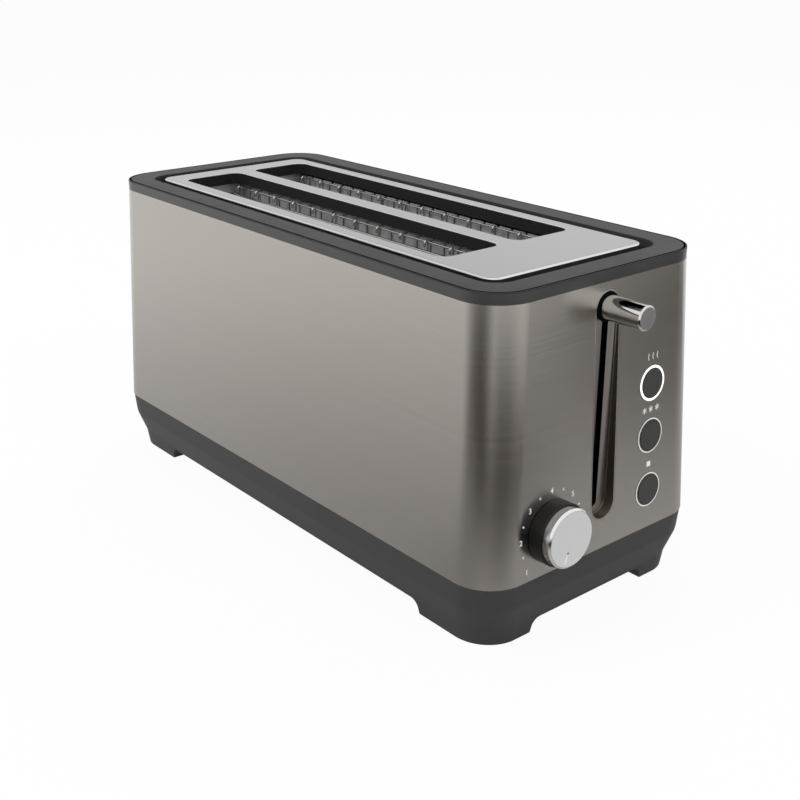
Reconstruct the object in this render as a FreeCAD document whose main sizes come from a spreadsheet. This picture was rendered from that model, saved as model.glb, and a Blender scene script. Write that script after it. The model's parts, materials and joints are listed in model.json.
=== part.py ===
import FreeCAD, Part
import math
import os
import re
import Sketcher

# A long-slot toaster with a leaning steel body. Lengths are in millimetres.
# The control panel is the +X end, the long sides are -Y and +Y, and the feet stand on z = 0.
# Each outline is drawn about the centre of the body. The placements then move everything along X,
# so that the origin is the bottom centre of the whole toaster, with the lever and the knob counted.

sizes = {
    # how far a cut runs past what it cuts
    "cut_margin": 6.0,
    # bread slots, which the length and the width of the body follow
    "slot_length": 263.0,
    "slot_width": 42.5,
    "slot_corner_radius": 7.0,
    "slot_bridge_width": 11.7,
    # steel body
    "steel_low_z": 39.1,
    "steel_height": 148.9,
    "end_flare": 7.0,
    "side_flare": 6.4,
    "corner_radius": 24.0,
    "steel_wall": 0.8,
    # collar round the top
    "collar_height": 6.1,
    "collar_inset": 0.15,
    "collar_end_width": 16.4,
    "collar_side_width": 15.75,
    "collar_opening_radius": 13.0,
    "collar_edge_round": 1.1,
    "collar_lip_depth": 4.0,
    "collar_lip_wall": 2.0,
    "lip_gap": 0.2,
    # top plate round the slots
    "plate_front_margin": 46.5,
    "plate_rear_margin": 15.3,
    "plate_side_margin": 8.95,
    "plate_end_gap": 7.2,
    "plate_side_gap": 6.1,
    "plate_corner_radius": 11.0,
    "plate_thickness": 1.0,
    "plate_rim_depth": 3.0,
    "plate_edge_round": 0.5,
    # frame under the plate, with a lined well for each slot
    "frame_floor": 1.7,
    "frame_margin": 6.0,
    "liner_wall": 1.5,
    "liner_setback": 0.5,
    # base moulding
    "base_top_inset": 0.3,
    "band_height": 14.0,
    "band_inset": 1.3,
    "slant_height": 14.0,
    "slant_inset": 5.6,
    "foot_inset": 6.8,
    "base_wall": 2.5,
    "base_floor": 2.5,
    "skirt_low_z": 9.2,
    "arch_end_inset": 58.0,
    "arch_side_inset": 39.55,
    "arch_draft": 2.5,
    "arch_round": 5.0,
    "base_lip_height": 5.0,
    "base_lip_wall": 2.0,
    # rubber pads under the feet
    "pad_radius": 8.0,
    "pad_thickness": 3.0,
    "pad_proud": 1.0,
    "pad_gap": 0.2,
    "pad_bevel": 0.4,
    "pad_end_inset": 35.0,
    "pad_side_inset": 24.55,
    # chassis
    "sheet_thickness": 1.0,
    "deck_rise": 1.4,
    "deck_thickness": 1.5,
    "deck_side_inset": 19.55,
    "deck_rear_inset": 21.0,
    "deck_front_inset": 17.0,
    "deck_window_inset": 3.0,
    "deck_window_side_inset": 1.5,
    "end_plate_gap": 4.1,
    "end_plate_side_reach": 2.0,
    "reflector_gap": 4.5,
    "reflector_thickness": 0.6,
    "reflector_headroom": 6.0,
    "boss_end_inset": 72.0,
    "boss_side_inset": 6.0,
    "boss_radius": 5.0,
    "screw_radius": 1.5,
    "screw_head_radius": 3.2,
    "screw_head_height": 2.2,
    "screw_gap": 0.1,
    "screw_tip_height": 3.0,
    # heaters
    "board_thickness": 1.0,
    "board_foot_gap": 8.0,
    "board_drop": 11.0,
    "outer_board_gap": 3.15,
    "heater_wire_radius": 0.45,
    "heater_wire_gap": 0.35,
    "winding_pitch": 12.0,
    "winding_margin": 11.0,
    # sprung bread guards
    "guard_setback": 3.5,
    "guard_travel": 5.0,
    "guard_wire_radius": 1.0,
    "guard_rib_radius": 0.8,
    "guard_foot_gap": 10.0,
    "guard_drop": 10.0,
    "guard_rib_pitch": 22.0,
    "guard_rib_inset": 6.0,
    "guard_hook_length": 3.0,
    "guard_end_reach": 2.5,
    "guard_slot_gap": 0.3,
    # carriage with the bread racks
    "rack_drop": 38.0,
    "rack_height": 6.0,
    "rack_thickness": 2.0,
    "rack_bar_radius": 1.0,
    "rack_bar_reach": 9.5,
    "rack_bar_pitch": 28.0,
    "rack_bar_inset": 14.0,
    "rack_end_reach": 6.0,
    "rack_slot_gap": 0.5,
    "carriage_gap": 5.0,
    "carriage_thickness": 1.5,
    "carriage_side_reach": 6.9,
    "carriage_height": 16.0,
    "rod_reach": 6.5,
    "rod_radius": 2.5,
    "rod_y": -8.0,
    "rod_gap": 0.05,
    "bush_radius": 4.5,
    "bush_flange_radius": 5.6,
    "bush_flange_height": 1.5,
    "carriage_boss_radius": 6.0,
    "fit_gap": 0.02,
    "spring_y": 18.0,
    "spring_radius": 3.5,
    "spring_wire_radius": 0.45,
    "spring_pitch": 1.35,
    "spring_seat_gap": 0.4,
    "spring_tab_thickness": 1.5,
    "spring_tab_half_width": 6.0,
    # lever
    "lever_y": 0.98,
    "lever_drop": 13.35,
    "lever_radius": 6.66,
    "lever_back_gap": 1.5,
    "lever_length": 25.3,
    "lever_foot_gap": 4.99,
    "lever_bevel": 0.7,
    "arm_thickness": 3.0,
    "arm_tip_height": 8.0,
    "arm_depth_in_lever": 18.0,
    "arm_gap": 0.05,
    "arm_foot_inset": 1.0,
    "arm_knee_rise": 8.0,
    # how far behind the lever each bend of the arm lies
    "arm_low_bend": 30.0,
    "arm_knee": 22.0,
    "arm_low_top": 10.0,
    "arm_high_top": 14.0,
    "arm_high_bend": 28.0,
    # channel behind the panel that the lever runs in
    "channel_half_width": 8.7,
    "channel_rise": 17.9,
    "channel_drop": 5.2,
    "channel_foot_depth": 7.8,
    "channel_wall": 0.8,
    "channel_proud": 0.25,
    "channel_flange": 6.0,
    "slit_width": 4.8,
    "slit_low_inset": 4.5,
    "slit_high_inset": 3.5,
    "hole_gap": 0.15,
    # holding magnet
    "magnet_y": -24.0,
    "magnet_half_width": 9.0,
    "magnet_front_gap": 1.5,
    "magnet_depth": 12.0,
    "magnet_height": 20.0,
    "magnet_leg": 3.0,
    "magnet_yoke": 4.0,
    "coil_back_gap": 0.2,
    "coil_front_reach": 2.5,
    "keeper_gap": 0.3,
    "keeper_thickness": 4.0,
    # browning control
    "knob_y": -38.5,
    "knob_z": 23.7,
    "knob_base_radius": 17.3,
    "knob_base_length": 8.4,
    "knob_panel_gap": 0.3,
    "knob_cap_radius": 16.3,
    "knob_cap_length": 5.4,
    "knob_cap_bevel": 1.0,
    "pointer_width": 0.9,
    "pointer_depth": 0.3,
    "pointer_start": 7.5,
    "pointer_end": 14.5,
    "pointer_angle": 135.0,
    "spindle_radius": 3.0,
    "spindle_length": 6.0,
    "spindle_hole_gap": 0.6,
    "control_depth": 18.0,
    "potentiometer_size": 16.0,
    "potentiometer_round": 1.6,
    "potentiometer_depth": 7.0,
    "circuit_thickness": 1.6,
    "circuit_half_width": 20.0,
    "circuit_low_z": 4.0,
    "knob_circuit_high_z": 100.0,
    "button_circuit_high_z": 108.0,
    "standoff_radius": 2.5,
    "standoff_inset": 4.0,
    # push buttons
    "button_y": 38.5,
    "reheat_z": 85.8,
    "defrost_z": 55.5,
    "stop_z": 23.2,
    "ring_outer_radius": 10.0,
    "ring_inner_radius": 8.3,
    "ring_proud": 0.35,
    "ring_depth": 10.0,
    "ring_flange_radius": 11.6,
    "ring_flange_thickness": 2.0,
    "button_radius": 8.0,
    "button_proud": 0.7,
    "button_depth": 10.0,
    "button_stem_radius": 2.5,
    "button_stem_length": 3.0,
    "button_travel": 1.2,
    "switch_size": 6.0,
    "switch_gap": 0.3,
    # crumb tray
    "tray_side_reach": 1.65,
    "tray_rear_inset": 10.0,
    "tray_front_gap": 6.0,
    "tray_gap": 0.3,
    "tray_height": 6.0,
    "tray_wall": 0.8,
    "notch_side_gap": 2.4,
    "notch_high_z": 22.0,
    "notch_reach": 2.0,
    "grip_gap": 0.4,
    "grip_scoop_half_width": 30.0,
    "grip_scoop_low_z": 12.5,
    "grip_scoop_high_z": 17.5,
    "grip_scoop_depth": 2.2,
    "guide_rib_width": 1.6,
    "guide_rib_height": 5.0,
    "guide_rib_setback": 4.0,
    # mains inlet
    "gland_side_inset": 33.55,
    "gland_drop": 8.1,
    "gland_radius": 5.5,
    "gland_bore_radius": 3.6,
    "gland_flange_radius": 8.0,
    "gland_flange_thickness": 1.5,
    "gland_length": 12.0,
    "terminal_width": 26.0,
    "terminal_depth": 14.0,
    "terminal_height": 12.0,
    "terminal_offset": 8.0,
    "terminal_pitch": 8.0,
    "terminal_setback": 2.0,
    # power switch that the carriage closes
    "power_switch_width": 16.0,
    "power_switch_depth": 10.0,
    "power_switch_height": 12.0,
    "power_switch_y": 22.0,
    "power_switch_setback": 14.5,
    # screws that hold the frame to the collar
    "frame_screw_x": 120.0,
    "frame_screw_inset": 3.0,
    "frame_screw_radius": 1.2,
    "frame_screw_head_radius": 2.2,
    "frame_screw_head_height": 1.4,
    "frame_screw_length": 6.0,
    "frame_screw_tip_gap": 0.5,
}

# what follows from the sizes
worked_out = {
    "plate_length": "slot_length + plate_front_margin + plate_rear_margin",
    "plate_width": "slot_bridge_width + 2 * (slot_width + plate_side_margin)",
    "collar_opening_length": "plate_length + 2 * plate_end_gap",
    "collar_opening_width": "plate_width + 2 * plate_side_gap",
    "steel_top_length": "collar_opening_length + 2 * collar_end_width",
    "steel_top_width": "collar_opening_width + 2 * collar_side_width",
    "half_low_length": "steel_top_length / 2 + end_flare",
    "half_low_width": "steel_top_width / 2 + side_flare",
    "steel_top_z": "steel_low_z + steel_height",
    "top_z": "steel_top_z + collar_height",
    "frame_low_z": "steel_top_z - frame_floor",
    "upright": "steel_height / sqrt(steel_height * steel_height + end_flare * end_flare)",
    "shift_x": "(half_low_length - lever_tip_x) / 2",
    # slots and heating chamber
    "slot_centre_x": "(plate_rear_margin - plate_front_margin) / 2",
    "slot_y": "(slot_bridge_width + slot_width) / 2",
    "slot_outer_y": "slot_bridge_width / 2 + slot_width",
    "front_x": "slot_centre_x + slot_length / 2 + end_plate_gap",
    "rear_x": "slot_centre_x - slot_length / 2 - end_plate_gap",
    "outer_board_y": "slot_outer_y + outer_board_gap",
    "reflector_y": "outer_board_y + reflector_gap",
    "end_plate_half_width": "reflector_y + end_plate_side_reach",
    "board_low_z": "deck_z + board_foot_gap",
    "board_high_z": "steel_top_z - board_drop",
    "guard_low_z": "deck_z + guard_foot_gap",
    "guard_high_z": "steel_top_z - guard_drop",
    # base moulding and deck
    "band_low_z": "steel_low_z - band_height",
    "slant_low_z": "band_low_z - slant_height",
    "slant_slope": "(slant_inset - band_inset) / slant_height",
    "floor_z": "skirt_low_z + base_floor",
    "head_seat_z": "skirt_low_z + 2 * screw_head_height",
    "arch_half_length": "half_low_length - arch_end_inset",
    "arch_half_width": "half_low_width - arch_side_inset",
    "pad_x": "half_low_length - pad_end_inset",
    "pad_y": "half_low_width - pad_side_inset",
    "deck_low_z": "steel_low_z + deck_rise",
    "deck_z": "deck_low_z + deck_thickness",
    "deck_half_width": "half_low_width - deck_side_inset",
    "deck_rear_x": "half_low_length - deck_rear_inset",
    "deck_front_x": "half_low_length - deck_front_inset",
    "boss_x": "deck_rear_x - boss_end_inset",
    "boss_y": "deck_half_width - boss_side_inset",
    # lever and its channel
    "lever_z": "steel_top_z - lever_drop",
    "channel_low_z": "steel_low_z + channel_rise",
    "channel_high_z": "steel_top_z - channel_drop",
    "channel_floor_x": "half_low_length - channel_foot_depth",
    "slit_low_z": "channel_low_z + slit_low_inset",
    "slit_high_z": "channel_high_z - slit_high_inset",
    "lever_rear_x": "channel_floor_x + lever_back_gap",
    "lever_tip_x": "lever_rear_x + lever_length",
    "lever_travel": "lever_z - lever_radius - lever_foot_gap - channel_low_z",
    # carriage
    "rack_low_z": "steel_top_z - rack_drop",
    "carriage_x": "front_x + sheet_thickness + carriage_gap",
    "carriage_face_x": "carriage_x + carriage_thickness",
    "carriage_high_z": "rack_low_z + carriage_height",
    "carriage_half_width": "slot_y + carriage_side_reach",
    "rod_x": "carriage_face_x + rod_reach",
    "spring_top_z": "frame_low_z - spring_tab_thickness",
    "keeper_low_z": "deck_z + magnet_height + keeper_gap + lever_travel",
    "power_switch_x": "carriage_face_x + power_switch_setback",
    # crumb tray and mains inlet
    "tray_half_width": "slot_outer_y + tray_side_reach",
    "tray_rear_x": "half_low_length - tray_rear_inset",
    "tray_front_x": "front_x - tray_front_gap",
    "notch_half_width": "tray_half_width + notch_side_gap",
    "gland_face_x": "base_top_inset + band_inset - half_low_length",
    "gland_y": "half_low_width - gland_side_inset",
    "gland_z": "steel_low_z - gland_drop",
    "terminal_y": "gland_y - terminal_offset",
}

doc = FreeCAD.newDocument("Toaster")
sheet = doc.addObject("Spreadsheet::Sheet", "Sizes")
for row, (alias, number) in enumerate(sizes.items(), 1):
    sheet.set(f"A{row}", alias)
    sheet.set(f"B{row}", str(number))
    sheet.setAlias(f"B{row}", alias)
doc.recompute()

panel_buttons = {"reheat": "reheat_z", "defrost": "defrost_z", "stop": "stop_z"}
sides = {"left": "-1", "right": "1"}
same_place = 0.001
least_cut = 1e-6

pieces = []


def bound(text):
    """The expression with what follows from the sizes written out, and each size as a cell of the sheet."""

    def written(match):
        word = match[0]
        if word in worked_out:
            return f"({bound(worked_out[word])})"
        return f"Sizes.{word}" if word in sizes else word

    return re.sub(r"[a-z][a-z_]+", written, text)


def value(text):
    """The number that the expression stands for now."""
    result = sheet.evalExpression(bound(text))
    return float(getattr(result, "Value", result))


def bind(thing, path, text):
    thing.setExpression(path, bound(text))


def place(piece, x="shift_x", y="0", z="0"):
    """Puts a finished piece where it belongs and lists it for export."""
    bind(piece, "Placement.Base.x", x)
    bind(piece, "Placement.Base.y", y)
    bind(piece, "Placement.Base.z", z)
    pieces.append(piece)


def place_on_panel(piece):
    """Puts a piece in the leaning frame of the control panel: x out of it, z up along it."""
    piece.Placement = FreeCAD.Placement(FreeCAD.Vector(), FreeCAD.Rotation(FreeCAD.Vector(0, -1, 0), 1))
    bind(piece, "Placement.Rotation.Angle", "atan(end_flare / steel_height)")
    place(piece, "shift_x + half_low_length", "0", "steel_low_z")


def new_body(name):
    body = doc.addObject("PartDesign::Body", name)
    body.Label = name
    return body


def sketch_on(body, plane, offset):
    sketch = body.newObject("Sketcher::SketchObject", "Sketch")
    base = next(f for f in body.Origin.OriginFeatures if f.Role == plane)
    sketch.AttachmentSupport = [(base, "")]
    sketch.MapMode = "FlatFace"
    bind(sketch, "AttachmentOffset.Base.z", offset)
    return sketch


def dimension(sketch, constraint, text):
    index = sketch.addConstraint(constraint)
    bind(sketch, f"Constraints[{index}]", text)


def pin_point(sketch, line, end, x, y):
    """Holds one point of the sketch at x, y from the sketch's origin."""
    for kind, text, axis in (("DistanceX", x, -2), ("DistanceY", y, -1)):
        if text == "0":
            sketch.addConstraint(Sketcher.Constraint("PointOnObject", line, end, axis))
        else:
            dimension(sketch, Sketcher.Constraint(kind, -1, 1, line, end, value(text)), text)


def circle(sketch, x, y, radius):
    centre = FreeCAD.Vector(value(x), value(y), 0)
    line = sketch.addGeometry(Part.Circle(centre, FreeCAD.Vector(0, 0, 1), value(radius)))
    dimension(sketch, Sketcher.Constraint("Radius", line, value(radius)), radius)
    pin_point(sketch, line, 3, x, y)


def disc(x, y, radius):
    """What draws one circle on a sketch."""
    return lambda sketch: circle(sketch, x, y, radius)


def polygon(sketch, points):
    spots = [FreeCAD.Vector(value(x), value(y), 0) for x, y in points]
    first = sketch.GeometryCount
    for index, spot in enumerate(spots):
        sketch.addGeometry(Part.LineSegment(spot, spots[(index + 1) % len(spots)]))
    for index, (x, y) in enumerate(points):
        after = first + (index + 1) % len(points)
        sketch.addConstraint(Sketcher.Constraint("Coincident", first + index, 2, after, 1))
        pin_point(sketch, first + index, 1, x, y)


def rectangle(sketch, x0, x1, y0, y1):
    polygon(sketch, [(x0, y0), (x1, y0), (x1, y1), (x0, y1)])


def rounded(sketch, x0, x1, y0, y1, radius):
    """A rectangle with round corners."""
    west, east, south, north, r = (value(text) for text in (x0, x1, y0, y1, radius))
    ends = [
        ((west + r, south), (east - r, south)),
        ((east, south + r), (east, north - r)),
        ((east - r, north), (west + r, north)),
        ((west, north - r), (west, south + r)),
    ]
    centres = [(east - r, south + r), (east - r, north - r), (west + r, north - r), (west + r, south + r)]
    first = sketch.GeometryCount
    for start, end in ends:
        sketch.addGeometry(Part.LineSegment(FreeCAD.Vector(*start, 0), FreeCAD.Vector(*end, 0)))
    for index, centre in enumerate(centres):
        ring = Part.Circle(FreeCAD.Vector(*centre, 0), FreeCAD.Vector(0, 0, 1), r)
        turn = math.radians(90 * index - 90)
        sketch.addGeometry(Part.ArcOfCircle(ring, turn, turn + math.radians(90)))
    for index in range(4):
        corner = first + 4 + index
        sketch.addConstraint(Sketcher.Constraint("Tangent", first + index, 2, corner, 1))
        sketch.addConstraint(Sketcher.Constraint("Tangent", corner, 2, first + (index + 1) % 4, 1))
        sketch.addConstraint(Sketcher.Constraint(("Horizontal", "Vertical")[index % 2], first + index))
        if index:
            sketch.addConstraint(Sketcher.Constraint("Equal", first + 4, corner))
    dimension(sketch, Sketcher.Constraint("Radius", first + 4, r), radius)
    for kind, line, text in (
        ("DistanceY", first, y0),
        ("DistanceX", first + 1, x1),
        ("DistanceY", first + 2, y1),
        ("DistanceX", first + 3, x0),
    ):
        dimension(sketch, Sketcher.Constraint(kind, -1, 1, line, 1, value(text)), text)


def centred(sketch, half_x, half_y, radius):
    rounded(sketch, f"-({half_x})", half_x, f"-({half_y})", half_y, radius)


def stadium(sketch, x, y0, y1, radius):
    """An upright slot with round ends, centred on x, from y0 to y1 over its ends."""
    middle, low, high, r = (value(text) for text in (x, y0, y1, radius))
    lower = Part.Circle(FreeCAD.Vector(middle, low + r, 0), FreeCAD.Vector(0, 0, 1), r)
    upper = Part.Circle(FreeCAD.Vector(middle, high - r, 0), FreeCAD.Vector(0, 0, 1), r)
    first = sketch.GeometryCount
    sketch.addGeometry(
        Part.LineSegment(FreeCAD.Vector(middle + r, low + r, 0), FreeCAD.Vector(middle + r, high - r, 0))
    )
    sketch.addGeometry(Part.ArcOfCircle(upper, 0, math.pi))
    sketch.addGeometry(
        Part.LineSegment(FreeCAD.Vector(middle - r, high - r, 0), FreeCAD.Vector(middle - r, low + r, 0))
    )
    sketch.addGeometry(Part.ArcOfCircle(lower, math.pi, 2 * math.pi))
    for index in range(4):
        after = first + (index + 1) % 4
        sketch.addConstraint(Sketcher.Constraint("Tangent", first + index, 2, after, 1))
    sketch.addConstraint(Sketcher.Constraint("Vertical", first))
    dimension(sketch, Sketcher.Constraint("Radius", first + 1, r), radius)
    pin_point(sketch, first + 1, 3, x, f"{y1} - ({radius})")
    dimension(sketch, Sketcher.Constraint("DistanceY", -1, 1, first + 3, 3, low + r), f"{y0} + ({radius})")


def extrude(body, kind, plane, offset, length, draw, back=False, both_ways=False):
    """Pads or pockets what draw puts on the sketch, along the plane's normal, or back against it."""
    sketch = sketch_on(body, plane, offset)
    draw(sketch)
    feature = body.newObject(f"PartDesign::{kind}", kind)
    feature.Profile = sketch
    bind(feature, "Length", length)
    if both_ways:
        feature.Midplane = True
    else:
        feature.Reversed = back if kind == "Pad" else not back
    sketch.Visibility = False
    return feature


def add(body, plane, offset, length, draw, **way):
    return extrude(body, "Pad", plane, offset, length, draw, **way)


def cut(body, plane, offset, length, draw, **way):
    return extrude(body, "Pocket", plane, offset, length, draw, **way)


def block(body, kind, x0, x1, y0, y1, z0, z1):
    extrude(body, kind, "XY_Plane", z0, f"({z1}) - ({z0})", lambda s: rectangle(s, x0, x1, y0, y1))


def loft(body, kind, levels):
    """A loft through centred outlines, each given as (z, half_x, half_y, radius)."""
    sections = []
    for z, half_x, half_y, radius in levels:
        sketch = sketch_on(body, "XY_Plane", z)
        centred(sketch, half_x, half_y, radius)
        sections.append(sketch)
    feature = body.newObject(f"PartDesign::{kind}", kind)
    feature.Profile = sections[0]
    feature.Sections = sections[1:]
    feature.Ruled = True
    return feature


def round_edges(body, chosen, radius):
    """Fillets the edges of the body that chosen accepts."""
    doc.recompute()
    tip = body.Tip
    names = [f"Edge{i}" for i, edge in enumerate(tip.Shape.Edges, 1) if chosen(edge)]
    fillet = body.newObject("PartDesign::Fillet", "Fillet")
    fillet.Base = (tip, names)
    bind(fillet, "Radius", radius)


def bevel_edges(body, chosen, size):
    doc.recompute()
    tip = body.Tip
    names = [f"Edge{i}" for i, edge in enumerate(tip.Shape.Edges, 1) if chosen(edge)]
    chamfer = body.newObject("PartDesign::Chamfer", "Chamfer")
    chamfer.Base = (tip, names)
    bind(chamfer, "Size", size)


def at_height(edge, z):
    return all(abs(vertex.Point.z - z) < same_place for vertex in edge.Vertexes)


def centred_at(edge, x):
    return abs(edge.CenterOfMass.x - x) < same_place


def runs_along_x(edge):
    start, end = edge.Vertexes[0], edge.Vertexes[-1]
    return abs(start.X - end.X) > same_place


def steel_outline(inset, z):
    """The leaning outline of the steel at height z, drawn in by inset."""
    lean = f"((steel_top_z - ({z})) / steel_height)"
    return (
        z,
        f"steel_top_length / 2 + end_flare * {lean} - ({inset})",
        f"steel_top_width / 2 + side_flare * {lean} - ({inset})",
        f"corner_radius - ({inset})",
    )


def base_outline(inset, z):
    """An outline of the base moulding: the steel's lowest outline drawn in by inset."""
    return (z, f"half_low_length - ({inset})", f"half_low_width - ({inset})", f"corner_radius - ({inset})")


def panel_height(local_z):
    """The height above the table of a point that lies local_z up the leaning panel."""
    return f"steel_low_z + ({local_z}) * upright"


def make_steel_shell():
    body = new_body("steel_shell")
    loft(body, "AdditiveLoft", [steel_outline("0", "steel_low_z"), steel_outline("0", "steel_top_z")])
    inner = [steel_outline("steel_wall", "steel_low_z"), steel_outline("steel_wall", "steel_top_z")]
    loft(body, "SubtractiveLoft", inner)

    def panel_holes(sketch):
        stadium(
            sketch,
            "lever_y",
            "channel_low_z - channel_wall - hole_gap",
            "channel_high_z + channel_wall + hole_gap",
            "channel_half_width + channel_wall + hole_gap",
        )
        circle(sketch, "knob_y", panel_height("knob_z"), "spindle_radius + spindle_hole_gap")
        for height in panel_buttons.values():
            circle(sketch, "button_y", panel_height(height), "ring_outer_radius + hole_gap")

    cut(body, "YZ_Plane", "steel_top_length / 2 - cut_margin", "end_flare + 2 * cut_margin", panel_holes)
    place(body)


def make_top_collar():
    body = new_body("top_collar")
    half_x, half_y = "steel_top_length / 2", "steel_top_width / 2"
    height = "top_z - steel_top_z"
    inset = "collar_inset"

    def slab(sketch):
        centred(sketch, f"{half_x} - {inset}", f"{half_y} - {inset}", f"corner_radius - {inset}")

    add(body, "XY_Plane", "steel_top_z", height, slab)
    top = value("top_z")
    round_edges(body, lambda edge: at_height(edge, top), "collar_edge_round")
    lip_inset = "(steel_wall + lip_gap)"
    lip_low = "steel_top_z - collar_lip_depth"

    def lip_outline(sketch):
        centred(sketch, f"{half_x} - {lip_inset}", f"{half_y} - {lip_inset}", f"corner_radius - {lip_inset}")

    add(body, "XY_Plane", lip_low, "collar_lip_depth", lip_outline)

    def lip_bore(sketch):
        depth = f"({lip_inset} + collar_lip_wall)"
        centred(sketch, f"{half_x} - {depth}", f"{half_y} - {depth}", f"corner_radius - {depth}")

    cut(body, "XY_Plane", lip_low, "collar_lip_depth", lip_bore)

    def opening(sketch):
        centred(sketch, "collar_opening_length / 2", "collar_opening_width / 2", "collar_opening_radius")

    cut(body, "XY_Plane", "steel_top_z", height, opening)

    def screw_holes(sketch):
        for x, y in frame_screw_spots():
            circle(sketch, x, y, "frame_screw_radius + screw_gap / 2")

    cut(body, "XY_Plane", "steel_top_z", "frame_screw_length - frame_floor", screw_holes)
    place(body)


def frame_screw_spots():
    y = "(collar_opening_width / 2 + frame_screw_inset)"
    return [(x, side) for x in ("-frame_screw_x", "0", "frame_screw_x") for side in (f"-{y}", y)]


def slot_spans(grow):
    """The two slots as rectangles, each drawn out by grow."""
    low_x = f"slot_centre_x - slot_length / 2 - ({grow})"
    high_x = f"slot_centre_x + slot_length / 2 + ({grow})"
    near, far = f"slot_bridge_width / 2 - ({grow})", f"slot_bridge_width / 2 + slot_width + ({grow})"
    return [(low_x, high_x, f"-({far})", f"-({near})"), (low_x, high_x, near, far)]


def slots(grow):
    def draw(sketch):
        for span in slot_spans(grow):
            rounded(sketch, *span, f"slot_corner_radius + ({grow})")

    return draw


def make_top_plate():
    body = new_body("top_plate")
    half_x, half_y, radius = "plate_length / 2", "plate_width / 2", "plate_corner_radius"
    low = "top_z - plate_thickness - plate_rim_depth"
    full = "plate_thickness + plate_rim_depth"
    add(body, "XY_Plane", low, full, lambda s: centred(s, half_x, half_y, radius))
    top = value("top_z")
    round_edges(body, lambda edge: at_height(edge, top), "plate_edge_round")

    def inside(sketch):
        wall = "plate_thickness"
        centred(sketch, f"{half_x} - {wall}", f"{half_y} - {wall}", f"{radius} - {wall}")

    cut(body, "XY_Plane", low, "plate_rim_depth", inside)
    cut(body, "XY_Plane", "top_z - plate_thickness", "plate_thickness", slots("0"))
    place(body)


def make_slot_frame():
    body = new_body("slot_frame")
    half_x = "collar_opening_length / 2 + frame_margin"
    half_y = "collar_opening_width / 2 + frame_margin"
    radius = "collar_opening_radius + frame_margin"
    add(body, "XY_Plane", "frame_low_z", "frame_floor", lambda s: centred(s, half_x, half_y, radius))
    rise = "collar_height - plate_thickness"
    add(body, "XY_Plane", "steel_top_z", rise, slots("liner_setback + liner_wall"))
    cut(body, "XY_Plane", "frame_low_z", f"frame_floor + {rise}", slots("liner_setback"))

    def screw_holes(sketch):
        for x, y in frame_screw_spots():
            circle(sketch, x, y, "frame_screw_radius + screw_gap")

    cut(body, "XY_Plane", "frame_low_z", "frame_floor", screw_holes)
    place(body)


def corner_spots(x, y):
    return [(f"{along} * {x}", f"{across} * {y}") for along in ("-1", "1") for across in ("-1", "1")]


def make_base_moulding():
    body = new_body("base_moulding")
    outer = [
        base_outline("base_top_inset", "steel_low_z"),
        base_outline("band_inset", "band_low_z"),
        base_outline("slant_inset", "slant_low_z"),
        base_outline("foot_inset", "pad_proud"),
    ]
    loft(body, "AdditiveLoft", outer)
    inner = [
        base_outline("base_top_inset + base_wall", "steel_low_z"),
        base_outline("band_inset + base_wall", "band_low_z"),
        base_outline("slant_inset + base_wall", "floor_z"),
    ]
    loft(body, "SubtractiveLoft", inner)

    def arch(half):
        def draw(sketch):
            foot_top = f"{half} - arch_draft"
            points = [
                (half, "pad_proud"),
                (foot_top, "skirt_low_z - arch_round / 2"),
                (f"{foot_top} - arch_round", "skirt_low_z"),
            ]
            mirrored = [(f"-({x})", z) for x, z in reversed(points)]
            polygon(sketch, points + mirrored)

        return draw

    cut(body, "XZ_Plane", "0", "2 * half_low_width", arch("arch_half_length"), both_ways=True)
    cut(body, "YZ_Plane", "0", "2 * half_low_length", arch("arch_half_width"), both_ways=True)

    def lip(sketch, inset):
        z, half_x, half_y, radius = steel_outline(inset, "steel_low_z + base_lip_height")
        centred(sketch, half_x, half_y, radius)

    lip_inset = "steel_wall + lip_gap"
    lip_low = "steel_low_z - base_wall"
    lip_length = "base_wall + base_lip_height"
    add(body, "XY_Plane", lip_low, lip_length, lambda s: lip(s, lip_inset))
    cut(body, "XY_Plane", lip_low, lip_length, lambda s: lip(s, f"{lip_inset} + base_lip_wall"))

    def bosses(sketch):
        for x, y in corner_spots("boss_x", "boss_y"):
            circle(sketch, x, y, "boss_radius")

    add(body, "XY_Plane", "skirt_low_z", "deck_low_z - skirt_low_z", bosses)

    def guide_ribs(sketch):
        for side in sides.values():
            near = f"{side} * (tray_half_width + tray_gap)"
            far = f"{side} * (tray_half_width + tray_gap + guide_rib_width)"
            rectangle(sketch, "-tray_rear_x + guide_rib_setback", "tray_front_x", near, far)

    add(body, "XY_Plane", "skirt_low_z", "base_floor + guide_rib_height", guide_ribs)

    def screw_holes(sketch):
        for x, y in corner_spots("boss_x", "boss_y"):
            circle(sketch, x, y, "screw_radius + screw_gap")

    def head_pockets(sketch):
        for x, y in corner_spots("boss_x", "boss_y"):
            circle(sketch, x, y, "screw_head_radius + pad_gap")

    cut(body, "XY_Plane", "skirt_low_z", "deck_low_z - skirt_low_z", screw_holes)
    cut(body, "XY_Plane", "skirt_low_z", "head_seat_z - skirt_low_z", head_pockets)

    def pad_pockets(sketch):
        for x, y in corner_spots("pad_x", "pad_y"):
            circle(sketch, x, y, "pad_radius + pad_gap")

    cut(body, "XY_Plane", "pad_proud", "pad_thickness - pad_proud", pad_pockets)
    block(
        body, "Pocket", "-half_low_length - cut_margin", "-tray_rear_x + notch_reach", "-notch_half_width",
        "notch_half_width", "skirt_low_z", "notch_high_z",
    )
    cut(
        body, "YZ_Plane", "-half_low_length", "half_low_length - tray_rear_x",
        disc("gland_y", "gland_z", "gland_radius + hole_gap"),
    )
    cut(
        body, "YZ_Plane", "-half_low_length", "gland_face_x + half_low_length + gland_flange_thickness",
        disc("gland_y", "gland_z", "gland_flange_radius + hole_gap"),
    )
    place(body)


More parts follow.
